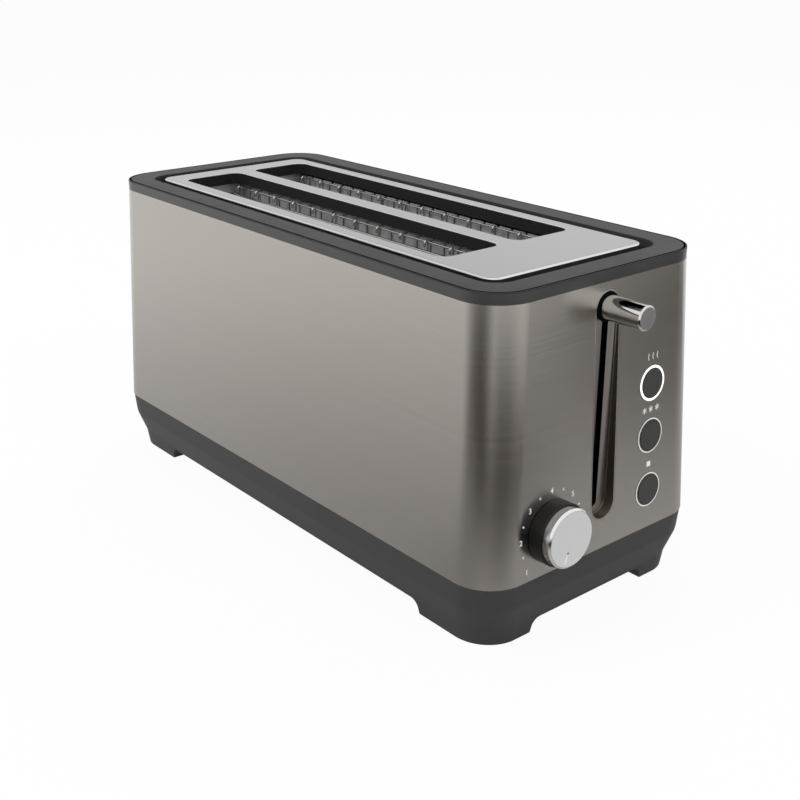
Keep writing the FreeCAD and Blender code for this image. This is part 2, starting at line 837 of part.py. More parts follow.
def make_foot_pads():
    for end, along in {"front": "1", "rear": "-1"}.items():
        for side, across in sides.items():
            body = new_body(f"foot_pad_{end}_{side}")
            add(body, "XY_Plane", "0", "pad_thickness", disc("0", "0", "pad_radius"))
            bevel_edges(body, lambda edge: at_height(edge, 0), "pad_bevel")
            place(body, f"shift_x + {along} * pad_x", f"{across} * pad_y")


def make_base_screws():
    screws = []
    head_low = "(head_seat_z - screw_head_height)"
    for x, y in corner_spots("boss_x", "boss_y"):
        head = doc.addObject("Part::Cylinder", "ScrewHead")
        bind(head, "Radius", "screw_head_radius")
        bind(head, "Height", "screw_head_height")
        bind(head, "Placement.Base.z", head_low)
        shank = doc.addObject("Part::Cylinder", "ScrewShank")
        bind(shank, "Radius", "screw_radius")
        bind(shank, "Height", f"deck_z + screw_tip_height - {head_low}")
        bind(shank, "Placement.Base.z", head_low)
        for part in (head, shank):
            bind(part, "Placement.Base.x", x)
            bind(part, "Placement.Base.y", y)
        screw = doc.addObject("Part::Fuse", "Screw")
        screw.Base = head
        screw.Tool = shank
        screws.append(screw)
    group = doc.addObject("Part::Compound", "base_screws")
    group.Label = "base_screws"
    group.Links = screws
    place(group)


def make_frame_screws():
    screws = []
    for x, y in frame_screw_spots():
        head = doc.addObject("Part::Cylinder", "ScrewHead")
        bind(head, "Radius", "frame_screw_head_radius")
        bind(head, "Height", "frame_screw_head_height")
        bind(head, "Placement.Base.z", "frame_low_z - frame_screw_head_height")
        shank = doc.addObject("Part::Cylinder", "ScrewShank")
        bind(shank, "Radius", "frame_screw_radius")
        bind(shank, "Height", "frame_screw_length - frame_screw_tip_gap")
        bind(shank, "Placement.Base.z", "frame_low_z")
        for part in (head, shank):
            bind(part, "Placement.Base.x", x)
            bind(part, "Placement.Base.y", y)
        screw = doc.addObject("Part::Fuse", "Screw")
        screw.Base = head
        screw.Tool = shank
        screws.append(screw)
    group = doc.addObject("Part::Compound", "frame_screws")
    group.Label = "frame_screws"
    group.Links = screws
    place(group)


def make_chassis_deck():
    body = new_body("chassis_deck")
    block(
        body, "Pad", "-deck_rear_x", "deck_front_x", "-deck_half_width", "deck_half_width", "deck_low_z",
        "deck_z",
    )

    def windows(sketch):
        for side in sides.values():
            near = f"{side} * (slot_bridge_width / 2 + deck_window_side_inset)"
            far = f"{side} * (slot_bridge_width / 2 + slot_width - deck_window_side_inset)"
            rectangle(sketch, "rear_x + deck_window_inset", "front_x - deck_window_inset", near, far)

    cut(body, "XY_Plane", "deck_low_z", "deck_thickness", windows)

    def screw_holes(sketch):
        for x, y in corner_spots("boss_x", "boss_y"):
            circle(sketch, x, y, "screw_radius + screw_gap")

    cut(body, "XY_Plane", "deck_low_z", "deck_thickness", screw_holes)
    place(body)


def guard_lines():
    """Each guard's name, its y at rest and the direction in which it closes on the bread."""
    lines = {}
    for side, sign in sides.items():
        lines[f"{side}_inner"] = (f"{sign} * (slot_bridge_width / 2 + guard_setback)", sign)
        lines[f"{side}_outer"] = (
            f"{sign} * (slot_bridge_width / 2 + slot_width - guard_setback)",
            str(-int(sign)),
        )
    return lines


def end_plate(name, low_x):
    """A sheet at one end of the heating chamber, slotted for the racks and the guard wires."""
    body = new_body(name)
    height = "frame_low_z - deck_z"
    block(
        body, "Pad", low_x, f"{low_x} + sheet_thickness", "-end_plate_half_width", "end_plate_half_width",
        "deck_z", f"deck_z + {height}",
    )

    def slots_for_racks(sketch):
        half = "(rack_thickness / 2 + rack_slot_gap)"
        low = "rack_low_z - lever_travel - rack_slot_gap"
        high = "rack_low_z + rack_height + rack_slot_gap"
        for side in sides.values():
            rectangle(sketch, f"{side} * slot_y - {half}", f"{side} * slot_y + {half}", low, high)

    def slots_for_guards(sketch):
        half_z = "(guard_wire_radius + guard_slot_gap)"
        for y, closing in guard_lines().values():
            middle = f"({y} + {closing} * guard_travel / 2)"
            half_y = "(guard_travel / 2 + guard_wire_radius + guard_slot_gap)"
            near, far = f"{middle} - {half_y}", f"{middle} + {half_y}"
            for z in ("guard_low_z", "guard_high_z"):
                rectangle(sketch, near, far, f"{z} - {half_z}", f"{z} + {half_z}")

    cut(body, "YZ_Plane", low_x, "sheet_thickness", slots_for_racks)
    cut(body, "YZ_Plane", low_x, "sheet_thickness", slots_for_guards)
    return body


def make_end_plates():
    place(end_plate("rear_chassis_plate", "rear_x - sheet_thickness"))
    front = end_plate("front_chassis_plate", "front_x")
    block(
        front, "Pad", "front_x + sheet_thickness", "rod_x + spring_tab_half_width",
        "spring_y - spring_tab_half_width", "spring_y + spring_tab_half_width", "spring_top_z", "frame_low_z",
    )
    place(front)


def make_reflectors():
    for side, sign in sides.items():
        body = new_body(f"side_reflector_{side}")
        near, far = f"{sign} * reflector_y", f"{sign} * (reflector_y + reflector_thickness)"
        block(body, "Pad", "rear_x", "front_x", near, far, "deck_z", "frame_low_z - reflector_headroom")
        place(body)


def make_guide_rod():
    body = new_body("guide_rod")
    add(body, "XY_Plane", "deck_z", "frame_low_z - deck_z", disc("rod_x", "rod_y", "rod_radius"))
    place(body)


def least_gap(points, radius, neighbours):
    """The least free distance between parts of a wire that aren't next to each other along it."""
    best = math.inf
    for index, point in enumerate(points):
        for other in points[index + neighbours:]:
            best = min(best, point.distanceToPoint(other))
    return best - 2 * radius


def make_heaters():
    """Mica boards between the end plates, each with one heater wire wound round it."""
    board_spots = {"left": "-outer_board_y", "centre": "0", "right": "outer_board_y"}
    wire = value("heater_wire_radius")
    run_points, bend_points = 12, 8
    half_depth = value("board_thickness / 2 + heater_wire_gap + heater_wire_radius")
    pitch, low, high = value("winding_pitch"), value("board_low_z"), value("board_high_z")
    first, last = value("rear_x + winding_margin"), value("front_x - winding_margin")
    loops = int((last - first) / pitch)
    for name, y in board_spots.items():
        board = new_body(f"heater_board_{name}")
        near, far = f"{y} - board_thickness / 2", f"{y} + board_thickness / 2"
        block(board, "Pad", "rear_x", "front_x", near, far, "board_low_z", "board_high_z")
        place(board)

        middle = value(y)
        edges = []
        trace = []
        start = FreeCAD.Vector(first, middle - half_depth, low)
        spot = start
        for turn in range(2 * loops):
            rising = turn % 2 == 0
            run_end = FreeCAD.Vector(spot.x, spot.y, high if rising else low)
            edges.append(Part.LineSegment(spot, run_end).toShape())
            trace.extend(edges[-1].discretize(run_points))
            spot = FreeCAD.Vector(run_end.x + pitch / 2, 2 * middle - run_end.y, run_end.z)
            if turn < 2 * loops - 1:
                radius = run_end.distanceToPoint(spot) / 2
                crown = (run_end + spot) / 2 + FreeCAD.Vector(0, 0, radius if rising else -radius)
                edges.append(Part.Arc(run_end, crown, spot).toShape())
                trace.extend(edges[-1].discretize(bend_points))
        profile = Part.Wire(Part.Circle(start, FreeCAD.Vector(0, 0, 1), wire).toShape())
        winding = doc.addObject("Part::Feature", f"heater_winding_{name}")
        winding.Label = f"heater_winding_{name}"
        winding.Shape = Part.Wire(edges).makePipeShell([profile], True, False)
        gap = least_gap(trace, wire, 2 * bend_points)
        print(winding.Label, loops, "loops, least gap to itself", round(gap, 2), "mm")
        place(winding)


def make_bread_guards():
    first = "(rear_x + end_plate_gap + guard_rib_inset)"
    ribs = int(value("(front_x - rear_x - 2 * (end_plate_gap + guard_rib_inset)) / guard_rib_pitch")) + 1
    for name, (y, closing) in guard_lines().items():
        body = new_body(f"bread_guard_{name}")

        def rails(sketch):
            circle(sketch, y, "guard_low_z", "guard_wire_radius")
            circle(sketch, y, "guard_high_z", "guard_wire_radius")

        def uprights(sketch):
            for index in range(ribs):
                circle(sketch, f"{first} + {index} * guard_rib_pitch", y, "guard_rib_radius")

        def hooks(sketch):
            for index in range(ribs):
                x = f"{first} + {index} * guard_rib_pitch"
                circle(sketch, x, "guard_high_z + 2 * guard_wire_radius", "guard_rib_radius")

        add(body, "XY_Plane", "guard_low_z", "guard_high_z - guard_low_z + 2 * guard_wire_radius", uprights)
        rail_start = "rear_x - sheet_thickness - guard_end_reach"
        rail_length = "front_x - rear_x + 2 * (sheet_thickness + guard_end_reach)"
        add(body, "YZ_Plane", rail_start, rail_length, rails)
        add(body, "XZ_Plane", f"-({y})", "guard_hook_length", hooks, back=closing == "-1")
        place(body)


def make_carriage():
    plate = new_body("carriage_plate")
    half = "carriage_half_width"
    block(plate, "Pad", "carriage_x", "carriage_face_x", f"-{half}", half, "rack_low_z", "carriage_high_z")
    block(
        plate, "Pad", "carriage_face_x", "rod_x + spring_tab_half_width", "spring_y - spring_tab_half_width",
        "spring_y + spring_tab_half_width", "carriage_high_z - spring_tab_thickness", "carriage_high_z",
    )

    def boss(sketch):
        circle(sketch, "rod_x", "rod_y", "carriage_boss_radius")

    add(plate, "XY_Plane", "rack_low_z", "carriage_height", boss)
    half_web = "spring_tab_thickness / 2"
    block(
        plate, "Pad", "carriage_face_x", "rod_x", f"rod_y - {half_web}", f"rod_y + {half_web}", "rack_low_z",
        "carriage_high_z",
    )
    add_keeper_wing(plate)
    cut(
        plate, "XY_Plane", "rack_low_z", "carriage_height",
        disc("rod_x", "rod_y", "bush_radius + fit_gap"),
    )
    place(plate)

    bush = new_body("guide_bush")
    add(bush, "XY_Plane", "rack_low_z", "carriage_height", disc("rod_x", "rod_y", "bush_radius"))
    flange = "bush_flange_height"
    add(bush, "XY_Plane", "carriage_high_z", flange, disc("rod_x", "rod_y", "bush_flange_radius"))
    cut(
        bush, "XY_Plane", "rack_low_z", f"carriage_height + {flange}",
        disc("rod_x", "rod_y", "rod_radius + rod_gap"),
    )
    place(bush)


def add_keeper_wing(plate):
    """The wing of the carriage that stands up beside the keeper."""
    near, far = "magnet_y - magnet_half_width", "magnet_y + magnet_half_width"
    top = "keeper_low_z + keeper_thickness"
    block(plate, "Pad", "carriage_x", "carriage_face_x", near, far, "carriage_high_z", top)


def make_magnet():
    keeper = new_body("magnet_keeper")
    near, far = "magnet_y - magnet_half_width", "magnet_y + magnet_half_width"
    back = "carriage_face_x + magnet_front_gap"
    front = f"{back} + magnet_depth"
    keeper_high_z = "keeper_low_z + keeper_thickness"
    block(keeper, "Pad", "carriage_face_x", front, near, far, "keeper_low_z", keeper_high_z)
    place(keeper)

    core = new_body("magnet_core")
    top = "deck_z + magnet_height"
    block(core, "Pad", back, front, near, far, "deck_z", top)
    yoke_top = "deck_z + magnet_yoke"
    for side in sides.values():
        inner = f"magnet_y + {side} * magnet_leg / 2"
        outer = f"magnet_y + {side} * (magnet_half_width - magnet_leg / 2)"
        block(core, "Pocket", f"{back} - cut_margin", f"{front} + cut_margin", inner, outer, yoke_top, top)
    place(core)

    coil = new_body("magnet_coil")
    low, high = f"{yoke_top} + fit_gap", f"{top} - magnet_leg"
    clear = "(magnet_leg / 2 + rod_gap)"
    reach = "(magnet_half_width - magnet_leg / 2 - rod_gap)"
    block(
        coil, "Pad", f"{back} + coil_back_gap", f"{front} + coil_front_reach", f"magnet_y - {reach}",
        f"magnet_y + {reach}", low, high,
    )
    block(coil, "Pocket", back, f"{front} + rod_gap", f"magnet_y - {clear}", f"magnet_y + {clear}", low, high)
    place(coil)


def make_racks():
    for side, sign in sides.items():
        body = new_body(f"bread_rack_{side}")
        half = "rack_thickness / 2"
        y = f"{sign} * slot_y"
        start = "rear_x - sheet_thickness - rack_end_reach"
        block(
            body, "Pad", start, "carriage_x", f"{y} - {half}", f"{y} + {half}", "rack_low_z",
            "rack_low_z + rack_height",
        )
        count = int(value("(front_x - rear_x - 2 * rack_bar_inset) / rack_bar_pitch")) + 1

        def bars(sketch):
            for index in range(count):
                x = f"rear_x + rack_bar_inset + {index} * rack_bar_pitch"
                circle(sketch, x, "rack_low_z + rack_height - rack_bar_radius", "rack_bar_radius")

        add(body, "XZ_Plane", f"-({y}) - rack_bar_reach", "2 * rack_bar_reach", bars)
        place(body)


def make_carriage_spring():
    body = new_body("carriage_spring")
    sketch = sketch_on(body, "XZ_Plane", "0")
    circle(sketch, "spring_radius", "spring_wire_radius", "spring_wire_radius")
    coil = body.newObject("PartDesign::AdditiveHelix", "Coil")
    coil.Profile = sketch
    coil.ReferenceAxis = (sketch, ["V_Axis"])
    coil.Mode = 0
    bind(coil, "Pitch", "spring_pitch")
    bind(coil, "Height", "spring_top_z - carriage_high_z - 2 * (spring_wire_radius + spring_seat_gap)")
    place(body, "shift_x + rod_x", "spring_y", "carriage_high_z + spring_seat_gap")


def make_lever():
    arm = new_body("lever_arm")
    rise = "arm_tip_height / 2"
    foot_low, foot_top = "rack_low_z + arm_foot_inset", "carriage_high_z - arm_foot_inset"
    tip_x = "lever_rear_x + arm_depth_in_lever"
    profile = [
        ("carriage_face_x", foot_low),
        ("lever_rear_x - arm_low_bend", foot_low),
        ("lever_rear_x - arm_knee", "rack_low_z + arm_knee_rise"),
        ("lever_rear_x - arm_low_top", f"lever_z - {rise}"),
        (tip_x, f"lever_z - {rise}"),
        (tip_x, f"lever_z + {rise}"),
        ("lever_rear_x - arm_high_top", f"lever_z + {rise}"),
        ("lever_rear_x - arm_high_bend", foot_top),
        ("carriage_face_x", foot_top),
    ]
    add(arm, "XZ_Plane", "-lever_y - arm_thickness / 2", "arm_thickness", lambda s: polygon(s, profile))
    place(arm)

    knob = new_body("lever_knob")
    length = "lever_tip_x - lever_rear_x"
    add(knob, "YZ_Plane", "lever_rear_x", length, disc("lever_y", "lever_z", "lever_radius"))
    tip = value("lever_tip_x")
    bevel_edges(knob, lambda edge: centred_at(edge, tip), "lever_bevel")

    def socket(sketch):
        half_y, half_z = "(arm_thickness / 2 + arm_gap)", f"({rise} + arm_gap)"
        rectangle(
            sketch, f"lever_y - {half_y}", f"lever_y + {half_y}", f"lever_z - {half_z}", f"lever_z + {half_z}"
        )

    cut(knob, "YZ_Plane", "lever_rear_x", "arm_depth_in_lever + arm_gap", socket)
    place(knob)


def make_lever_channel():
    """The upright trough behind the panel. Its floor is upright and its rim follows the lean."""
    body = new_body("lever_channel")
    flange = "(channel_half_width + channel_flange)"
    back_x = "(channel_floor_x - channel_wall)"
    block(
        body, "Pad", back_x, "channel_floor_x", f"lever_y - {flange}", f"lever_y + {flange}",
        "channel_low_z - channel_flange", "channel_high_z + channel_wall",
    )
    reach = "half_low_length - channel_floor_x + cut_margin"

    def rim(sketch):
        stadium(
            sketch, "lever_y", "channel_low_z - channel_wall", "channel_high_z + channel_wall",
            "channel_half_width + channel_wall",
        )

    def trough(sketch):
        stadium(sketch, "lever_y", "channel_low_z", "channel_high_z", "channel_half_width")

    add(body, "YZ_Plane", back_x, f"{reach} + channel_wall", rim)
    cut(body, "YZ_Plane", "channel_floor_x", f"{reach} + cut_margin", trough)
    cut(
        body, "YZ_Plane", f"{back_x} - cut_margin", "channel_wall + 2 * cut_margin",
        lambda s: stadium(s, "lever_y", "slit_low_z", "slit_high_z", "slit_width / 2"),
    )

    def beyond_panel(sketch):
        low = "channel_low_z - channel_flange - cut_margin"
        high = "channel_high_z + channel_wall + cut_margin"

        def face(z):
            return f"steel_top_length / 2 + end_flare * (steel_top_z - ({z})) / steel_height + channel_proud"

        far = "half_low_length + 3 * cut_margin"
        polygon(sketch, [(face(low), low), (far, low), (far, high), (face(high), high)])

    cut(body, "XZ_Plane", "0", f"4 * {flange}", beyond_panel, both_ways=True)
    place(body)


def make_browning_control():
    base = new_body("knob_base")
    back, front = "knob_panel_gap", "(knob_panel_gap + knob_base_length)"
    tip = value(f"{front} + knob_cap_length")
    add(base, "YZ_Plane", back, "knob_base_length", disc("knob_y", "knob_z", "knob_base_radius"))
    cut(
        base, "YZ_Plane", back, "spindle_length + fit_gap",
        disc("knob_y", "knob_z", "spindle_radius + fit_gap"),
    )
    place_on_panel(base)

    cap = new_body("knob_cap")
    add(cap, "YZ_Plane", front, "knob_cap_length", disc("knob_y", "knob_z", "knob_cap_radius"))
    bevel_edges(cap, lambda edge: centred_at(edge, tip), "knob_cap_bevel")

    def pointer(sketch):
        """A radial groove, turned from straight up towards the lowest setting."""
        turn = "pointer_angle"
        corners = []
        for reach, half in (
            ("pointer_start", "-1"), ("pointer_end", "-1"), ("pointer_end", "1"), ("pointer_start", "1")
        ):
            side = f"{half} * pointer_width / 2"
            y = f"knob_y - {reach} * sin({turn} * 1 deg) + {side} * cos({turn} * 1 deg)"
            z = f"knob_z + {reach} * cos({turn} * 1 deg) + {side} * sin({turn} * 1 deg)"
            corners.append((y, z))
        polygon(sketch, corners)

    cut(cap, "YZ_Plane", f"{front} + knob_cap_length", "pointer_depth", pointer, back=True)
    place_on_panel(cap)

    body_back = "-control_depth"
    body_front = "(potentiometer_depth - control_depth)"
    spindle = new_body("knob_spindle")
    add(
        spindle, "YZ_Plane", f"{body_front} + rod_gap", f"{back} + spindle_length - {body_front} - rod_gap",
        disc("knob_y", "knob_z", "spindle_radius"),
    )
    place_on_panel(spindle)

    potentiometer = new_body("potentiometer")
    half = "potentiometer_size / 2"
    block(
        potentiometer, "Pad", body_back, body_front, f"knob_y - {half}", f"knob_y + {half}",
        f"knob_z - {half}", f"knob_z + {half}",
    )
    round_edges(potentiometer, runs_along_x, "potentiometer_round")
    place_on_panel(potentiometer)


def circuit_spans():
    return {
        "knob_circuit_board": ("knob_y", "knob_circuit_high_z"),
        "button_circuit_board": ("button_y", "button_circuit_high_z"),
    }


def make_circuits():
    """Two circuit boards behind the panel, parallel to it, on standoffs fixed to the steel."""
    back = "(-control_depth - circuit_thickness)"
    posts = []
    for name, (y, high) in circuit_spans().items():
        board = new_body(name)
        near, far = f"{y} - circuit_half_width", f"{y} + circuit_half_width"
        block(board, "Pad", back, "-control_depth", near, far, "circuit_low_z", high)
        place_on_panel(board)
        for post_y in (f"{near} + standoff_inset", f"{far} - standoff_inset"):
            for post_z in ("circuit_low_z + standoff_inset", f"{high} - standoff_inset"):
                post = doc.addObject("Part::Cylinder", "Post")
                bind(post, "Radius", "standoff_radius")
                bind(post, "Height", "control_depth - steel_wall")
                post.Placement = FreeCAD.Placement(
                    FreeCAD.Vector(), FreeCAD.Rotation(FreeCAD.Vector(0, 1, 0), 90)
                )
                bind(post, "Placement.Base.x", "-control_depth")
                bind(post, "Placement.Base.y", post_y)
                bind(post, "Placement.Base.z", post_z)
                posts.append(post)
    group = doc.addObject("Part::Compound", "circuit_standoffs")
    group.Label = "circuit_standoffs"
    group.Links = posts
    place_on_panel(group)


def make_buttons():
    switches = []
    for name, z in panel_buttons.items():
        ring = new_body(f"{name}_light_ring")
        add(
            ring, "YZ_Plane", "-ring_depth", "ring_depth + ring_proud",
            disc("button_y", z, "ring_outer_radius"),
        )
        add(
            ring, "YZ_Plane", "-steel_wall - ring_flange_thickness", "ring_flange_thickness",
            disc("button_y", z, "ring_flange_radius"),
        )
        cut(
            ring, "YZ_Plane", "-ring_depth", "ring_depth + ring_proud",
            disc("button_y", z, "ring_inner_radius"),
        )
        place_on_panel(ring)

        button = new_body(f"{name}_button")
        add(
            button, "YZ_Plane", "-button_depth", "button_depth + button_proud",
            disc("button_y", z, "button_radius"),
        )
        add(
            button, "YZ_Plane", "-button_depth - button_stem_length", "button_stem_length",
            disc("button_y", z, "button_stem_radius"),
        )
        face = value("button_proud")
        round_edges(button, lambda edge: centred_at(edge, face), "button_proud / 2")
        place_on_panel(button)

        switch = doc.addObject("Part::Box", "Switch")
        pressed_depth = "button_depth + button_stem_length + button_travel"
        bind(switch, "Length", f"control_depth - ({pressed_depth}) - switch_gap")
        bind(switch, "Width", "switch_size")
        bind(switch, "Height", "switch_size")
        bind(switch, "Placement.Base.x", "-control_depth")
        bind(switch, "Placement.Base.y", "button_y - switch_size / 2")
        bind(switch, "Placement.Base.z", f"{z} - switch_size / 2")
        switches.append(switch)
    group = doc.addObject("Part::Compound", "button_switches")
    group.Label = "button_switches"
    group.Links = switches
    place_on_panel(group)


def make_crumb_tray():
    tray = new_body("crumb_tray")
    low = "(floor_z + tray_gap)"
    wall = "tray_wall"
    rim = f"{low} + tray_height"
    block(tray, "Pad", "-tray_rear_x", "tray_front_x", "-tray_half_width", "tray_half_width", low, rim)
    block(
        tray, "Pocket", f"-tray_rear_x + {wall}", f"tray_front_x - {wall}", f"-tray_half_width + {wall}",
        f"tray_half_width - {wall}", f"{low} + {wall}", rim,
    )
    place(tray)

    grip = new_body("tray_grip")
    high = "(notch_high_z - grip_gap)"
    bottom = "(skirt_low_z + grip_gap)"
    high_inset = f"(slant_inset - ({high} - slant_low_z) * slant_slope)"
    foot_slope = "((foot_inset - slant_inset) / (slant_low_z - pad_proud))"
    low_inset = f"(slant_inset + (slant_low_z - {bottom}) * {foot_slope})"
    profile = [
        (f"{low_inset} - half_low_length", bottom),
        ("-tray_rear_x", bottom),
        ("-tray_rear_x", high),
        (f"{high_inset} - half_low_length", high),
        ("slant_inset - half_low_length", "slant_low_z"),
    ]
    width = "2 * (notch_half_width - grip_gap)"
    add(grip, "XZ_Plane", "0", width, lambda s: polygon(s, profile), both_ways=True)
    scoop_inset = "(slant_inset - (grip_scoop_high_z - slant_low_z) * slant_slope + grip_scoop_depth)"
    scoop_x = f"{scoop_inset} - half_low_length"
    half = "grip_scoop_half_width"
    block(
        grip, "Pocket", f"{scoop_x} - cut_margin", scoop_x, f"-{half}", half, "grip_scoop_low_z",
        "grip_scoop_high_z",
    )
    place(grip)


def make_mains_inlet():
    gland = new_body("cord_gland")
    for action, length, radius in (
        (add, "gland_flange_thickness", "gland_flange_radius"),
        (add, "gland_length", "gland_radius"),
        (cut, "gland_length", "gland_bore_radius"),
    ):
        action(gland, "YZ_Plane", "gland_face_x", length, disc("gland_y", "gland_z", radius))
    place(gland)

    block_body = new_body("terminal_block")
    low_x = "-deck_rear_x + terminal_setback"
    near, far = "terminal_y - terminal_width / 2", "terminal_y + terminal_width / 2"
    top = "deck_z + terminal_height"
    block(block_body, "Pad", low_x, f"{low_x} + terminal_depth", near, far, "deck_z", top)

    def wire_holes(sketch):
        middle = "deck_z + terminal_height / 2"
        for step in ("-1", "0", "1"):
            circle(sketch, f"terminal_y + {step} * terminal_pitch", middle, "screw_radius")

    cut(block_body, "YZ_Plane", low_x, "terminal_depth", wire_holes)
    place(block_body)

    switch = new_body("power_switch")
    near = "power_switch_y - power_switch_width / 2"
    far = "power_switch_y + power_switch_width / 2"
    front = "power_switch_x + power_switch_depth"
    block(switch, "Pad", "power_switch_x", front, near, far, "deck_z", "deck_z + power_switch_height")
    middle = "power_switch_x + power_switch_depth / 2"
    add(
        switch, "XY_Plane", "deck_z + power_switch_height", "screw_radius",
        disc(middle, "power_switch_y", "screw_radius"),
    )
    place(switch)


def check_document():
    """Stops when a feature failed, a cut removed nothing or a piece isn't one good shape."""
    for thing in doc.Objects:
        if "Invalid" in thing.State or "Error" in thing.State:
            raise RuntimeError(f"{thing.Name} in {thing.Label} failed: {thing.State}")
        removes = thing.TypeId in ("PartDesign::Pocket", "PartDesign::SubtractiveLoft")
        if removes and thing.Shape.Volume > thing.BaseFeature.Shape.Volume - least_cut:
            raise RuntimeError(f"{thing.Name} removed nothing from {thing.getParentGeoFeatureGroup().Label}")
    for piece in pieces:
        if piece.Shape.isNull() or not piece.Shape.isValid() or piece.Shape.Volume <= 0:
            raise RuntimeError(f"{piece.Label} has no valid shape")


make_steel_shell()
make_top_collar()
make_top_plate()
make_slot_frame()
make_base_moulding()
make_foot_pads()
make_base_screws()
make_frame_screws()
make_chassis_deck()
make_end_plates()
make_reflectors()
make_guide_rod()
make_heaters()
make_bread_guards()
make_carriage()
make_magnet()
make_racks()
make_carriage_spring()
make_lever()
make_lever_channel()
make_browning_control()
make_circuits()
make_buttons()
make_crumb_tray()
make_mains_inlet()
doc.recompute()
check_document()

os.makedirs("parts", exist_ok=True)
for piece in pieces:
    piece.Shape.exportStep(os.path.join("parts", f"{piece.Label}.step"))
print(len(pieces), "pieces")
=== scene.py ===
import json
import math

import bpy
from mathutils import Matrix, Vector

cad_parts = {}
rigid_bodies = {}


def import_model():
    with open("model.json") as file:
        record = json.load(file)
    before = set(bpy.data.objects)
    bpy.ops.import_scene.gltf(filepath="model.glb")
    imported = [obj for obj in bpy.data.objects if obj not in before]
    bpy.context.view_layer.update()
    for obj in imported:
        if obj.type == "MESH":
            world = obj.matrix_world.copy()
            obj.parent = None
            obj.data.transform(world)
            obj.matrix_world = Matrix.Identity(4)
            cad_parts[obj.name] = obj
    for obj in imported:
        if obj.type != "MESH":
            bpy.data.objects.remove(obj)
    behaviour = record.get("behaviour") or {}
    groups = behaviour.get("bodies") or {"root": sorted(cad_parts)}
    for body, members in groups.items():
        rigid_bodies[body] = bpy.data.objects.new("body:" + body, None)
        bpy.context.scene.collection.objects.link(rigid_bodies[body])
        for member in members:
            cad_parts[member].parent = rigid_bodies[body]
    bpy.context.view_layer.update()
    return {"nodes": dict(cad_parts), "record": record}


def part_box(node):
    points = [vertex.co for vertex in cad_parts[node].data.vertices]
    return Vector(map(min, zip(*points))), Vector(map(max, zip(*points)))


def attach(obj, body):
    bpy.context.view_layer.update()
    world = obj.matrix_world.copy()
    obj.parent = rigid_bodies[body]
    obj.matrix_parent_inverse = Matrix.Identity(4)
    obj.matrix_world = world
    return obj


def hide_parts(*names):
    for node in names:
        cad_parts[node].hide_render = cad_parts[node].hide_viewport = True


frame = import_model()
bpy.context.scene.view_settings.view_transform = "Standard"
print("frame loaded", len(frame["nodes"]), "nodes")

tiny = 1e-6  # places closer than this count as one
slack = 1e-5  # the same for the top of a piece
mergeGap = 2e-6  # points closer than this are merged
over = 0.01  # how far a cutter runs past the face it cuts
behind = 0.02  # how far behind the panel a cutter starts
buttonNames = ("reheat", "defrost", "stop")

shellLow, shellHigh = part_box("steel_shell")
bodyX = (shellLow.x + shellHigh.x) / 2  # middle of the steel body
steelBody = {
    "endFlare": 0.007,
    "sideFlare": 0.0064,
    "cornerRadius": 0.024,
    "cornerSteps": 28,
    "wall": 0.0008,
    "holeGap": 0.0001,  # round the lever's channel
    "buttonHole": 0.01015,  # radius
    "spindleHole": 0.0036,  # radius
}
panelLean = math.atan(steelBody["endFlare"] / (shellHigh.z - shellLow.z))
panelFrame = Matrix.Translation((shellHigh.x, 0, shellLow.z)) @ Matrix.Rotation(-panelLean, 4, "Y")


def panelSpot(node):
    low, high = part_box(node)
    return panelFrame.inverted() @ ((low + high) / 2)


# small helpers for modelling


def deselectAll():
    if bpy.context.object and bpy.context.object.mode != "OBJECT":
        bpy.ops.object.mode_set(mode="OBJECT")
    bpy.ops.object.select_all(action="DESELECT")


def makeActive(piece):
    deselectAll()
    piece.select_set(True)
    bpy.context.view_layer.objects.active = piece


def freeze(piece):
    makeActive(piece)
    bpy.ops.object.transform_apply(location=True, rotation=True, scale=True)
    return piece


def nameIt(name):
    piece = bpy.context.object
    piece.name = piece.data.name = name
    return piece


def addBox(name, low, high):
    deselectAll()
    middle = [(a + b) / 2 for a, b in zip(low, high)]
    bpy.ops.mesh.primitive_cube_add(size=1, location=middle)
    piece = nameIt(name)
    piece.scale = [b - a for a, b in zip(low, high)]
    return freeze(piece)


def addRound(name, radius, start, end, axis="X", sides=96):
    deselectAll()
    start, end = Vector(start), Vector(end)
    bpy.ops.mesh.primitive_cylinder_add(
        vertices=sides, radius=radius, depth=(end - start).length, location=(start + end) / 2
    )
    piece = nameIt(name)
    if axis == "X":
        piece.rotation_euler = (0, math.pi / 2, 0)
    elif axis == "Y":
        piece.rotation_euler = (math.pi / 2, 0, 0)
    return freeze(piece)


def roundAt(spot, name, radius, startX, endX, sides=96):
    return addRound(name, radius, (startX, spot.y, spot.z), (endX, spot.y, spot.z), sides=sides)


def startEdit(piece, kind):
    makeActive(piece)
    bpy.context.tool_settings.mesh_select_mode = [kind == name for name in ("point", "edge", "face")]
    bpy.ops.object.mode_set(mode="EDIT")
    bpy.ops.mesh.select_all(action="DESELECT")
    bpy.ops.object.mode_set(mode="OBJECT")


def selectPoints(piece, rule):
    startEdit(piece, "point")
    for point in piece.data.vertices:
        point.select = rule(point.co)
    bpy.ops.object.mode_set(mode="EDIT")


def selectFaces(piece, rule):
    startEdit(piece, "face")
    for face in piece.data.polygons:
        face.select = rule(face.center, face.normal)
    bpy.ops.object.mode_set(mode="EDIT")


def selectEdges(piece, rule):
    startEdit(piece, "edge")
    points = piece.data.vertices
    for edge in piece.data.edges:
        edge.select = rule(points[edge.vertices[0]].co, points[edge.vertices[1]].co)
    bpy.ops.object.mode_set(mode="EDIT")


def leaveEdit():
    bpy.ops.object.mode_set(mode="OBJECT")


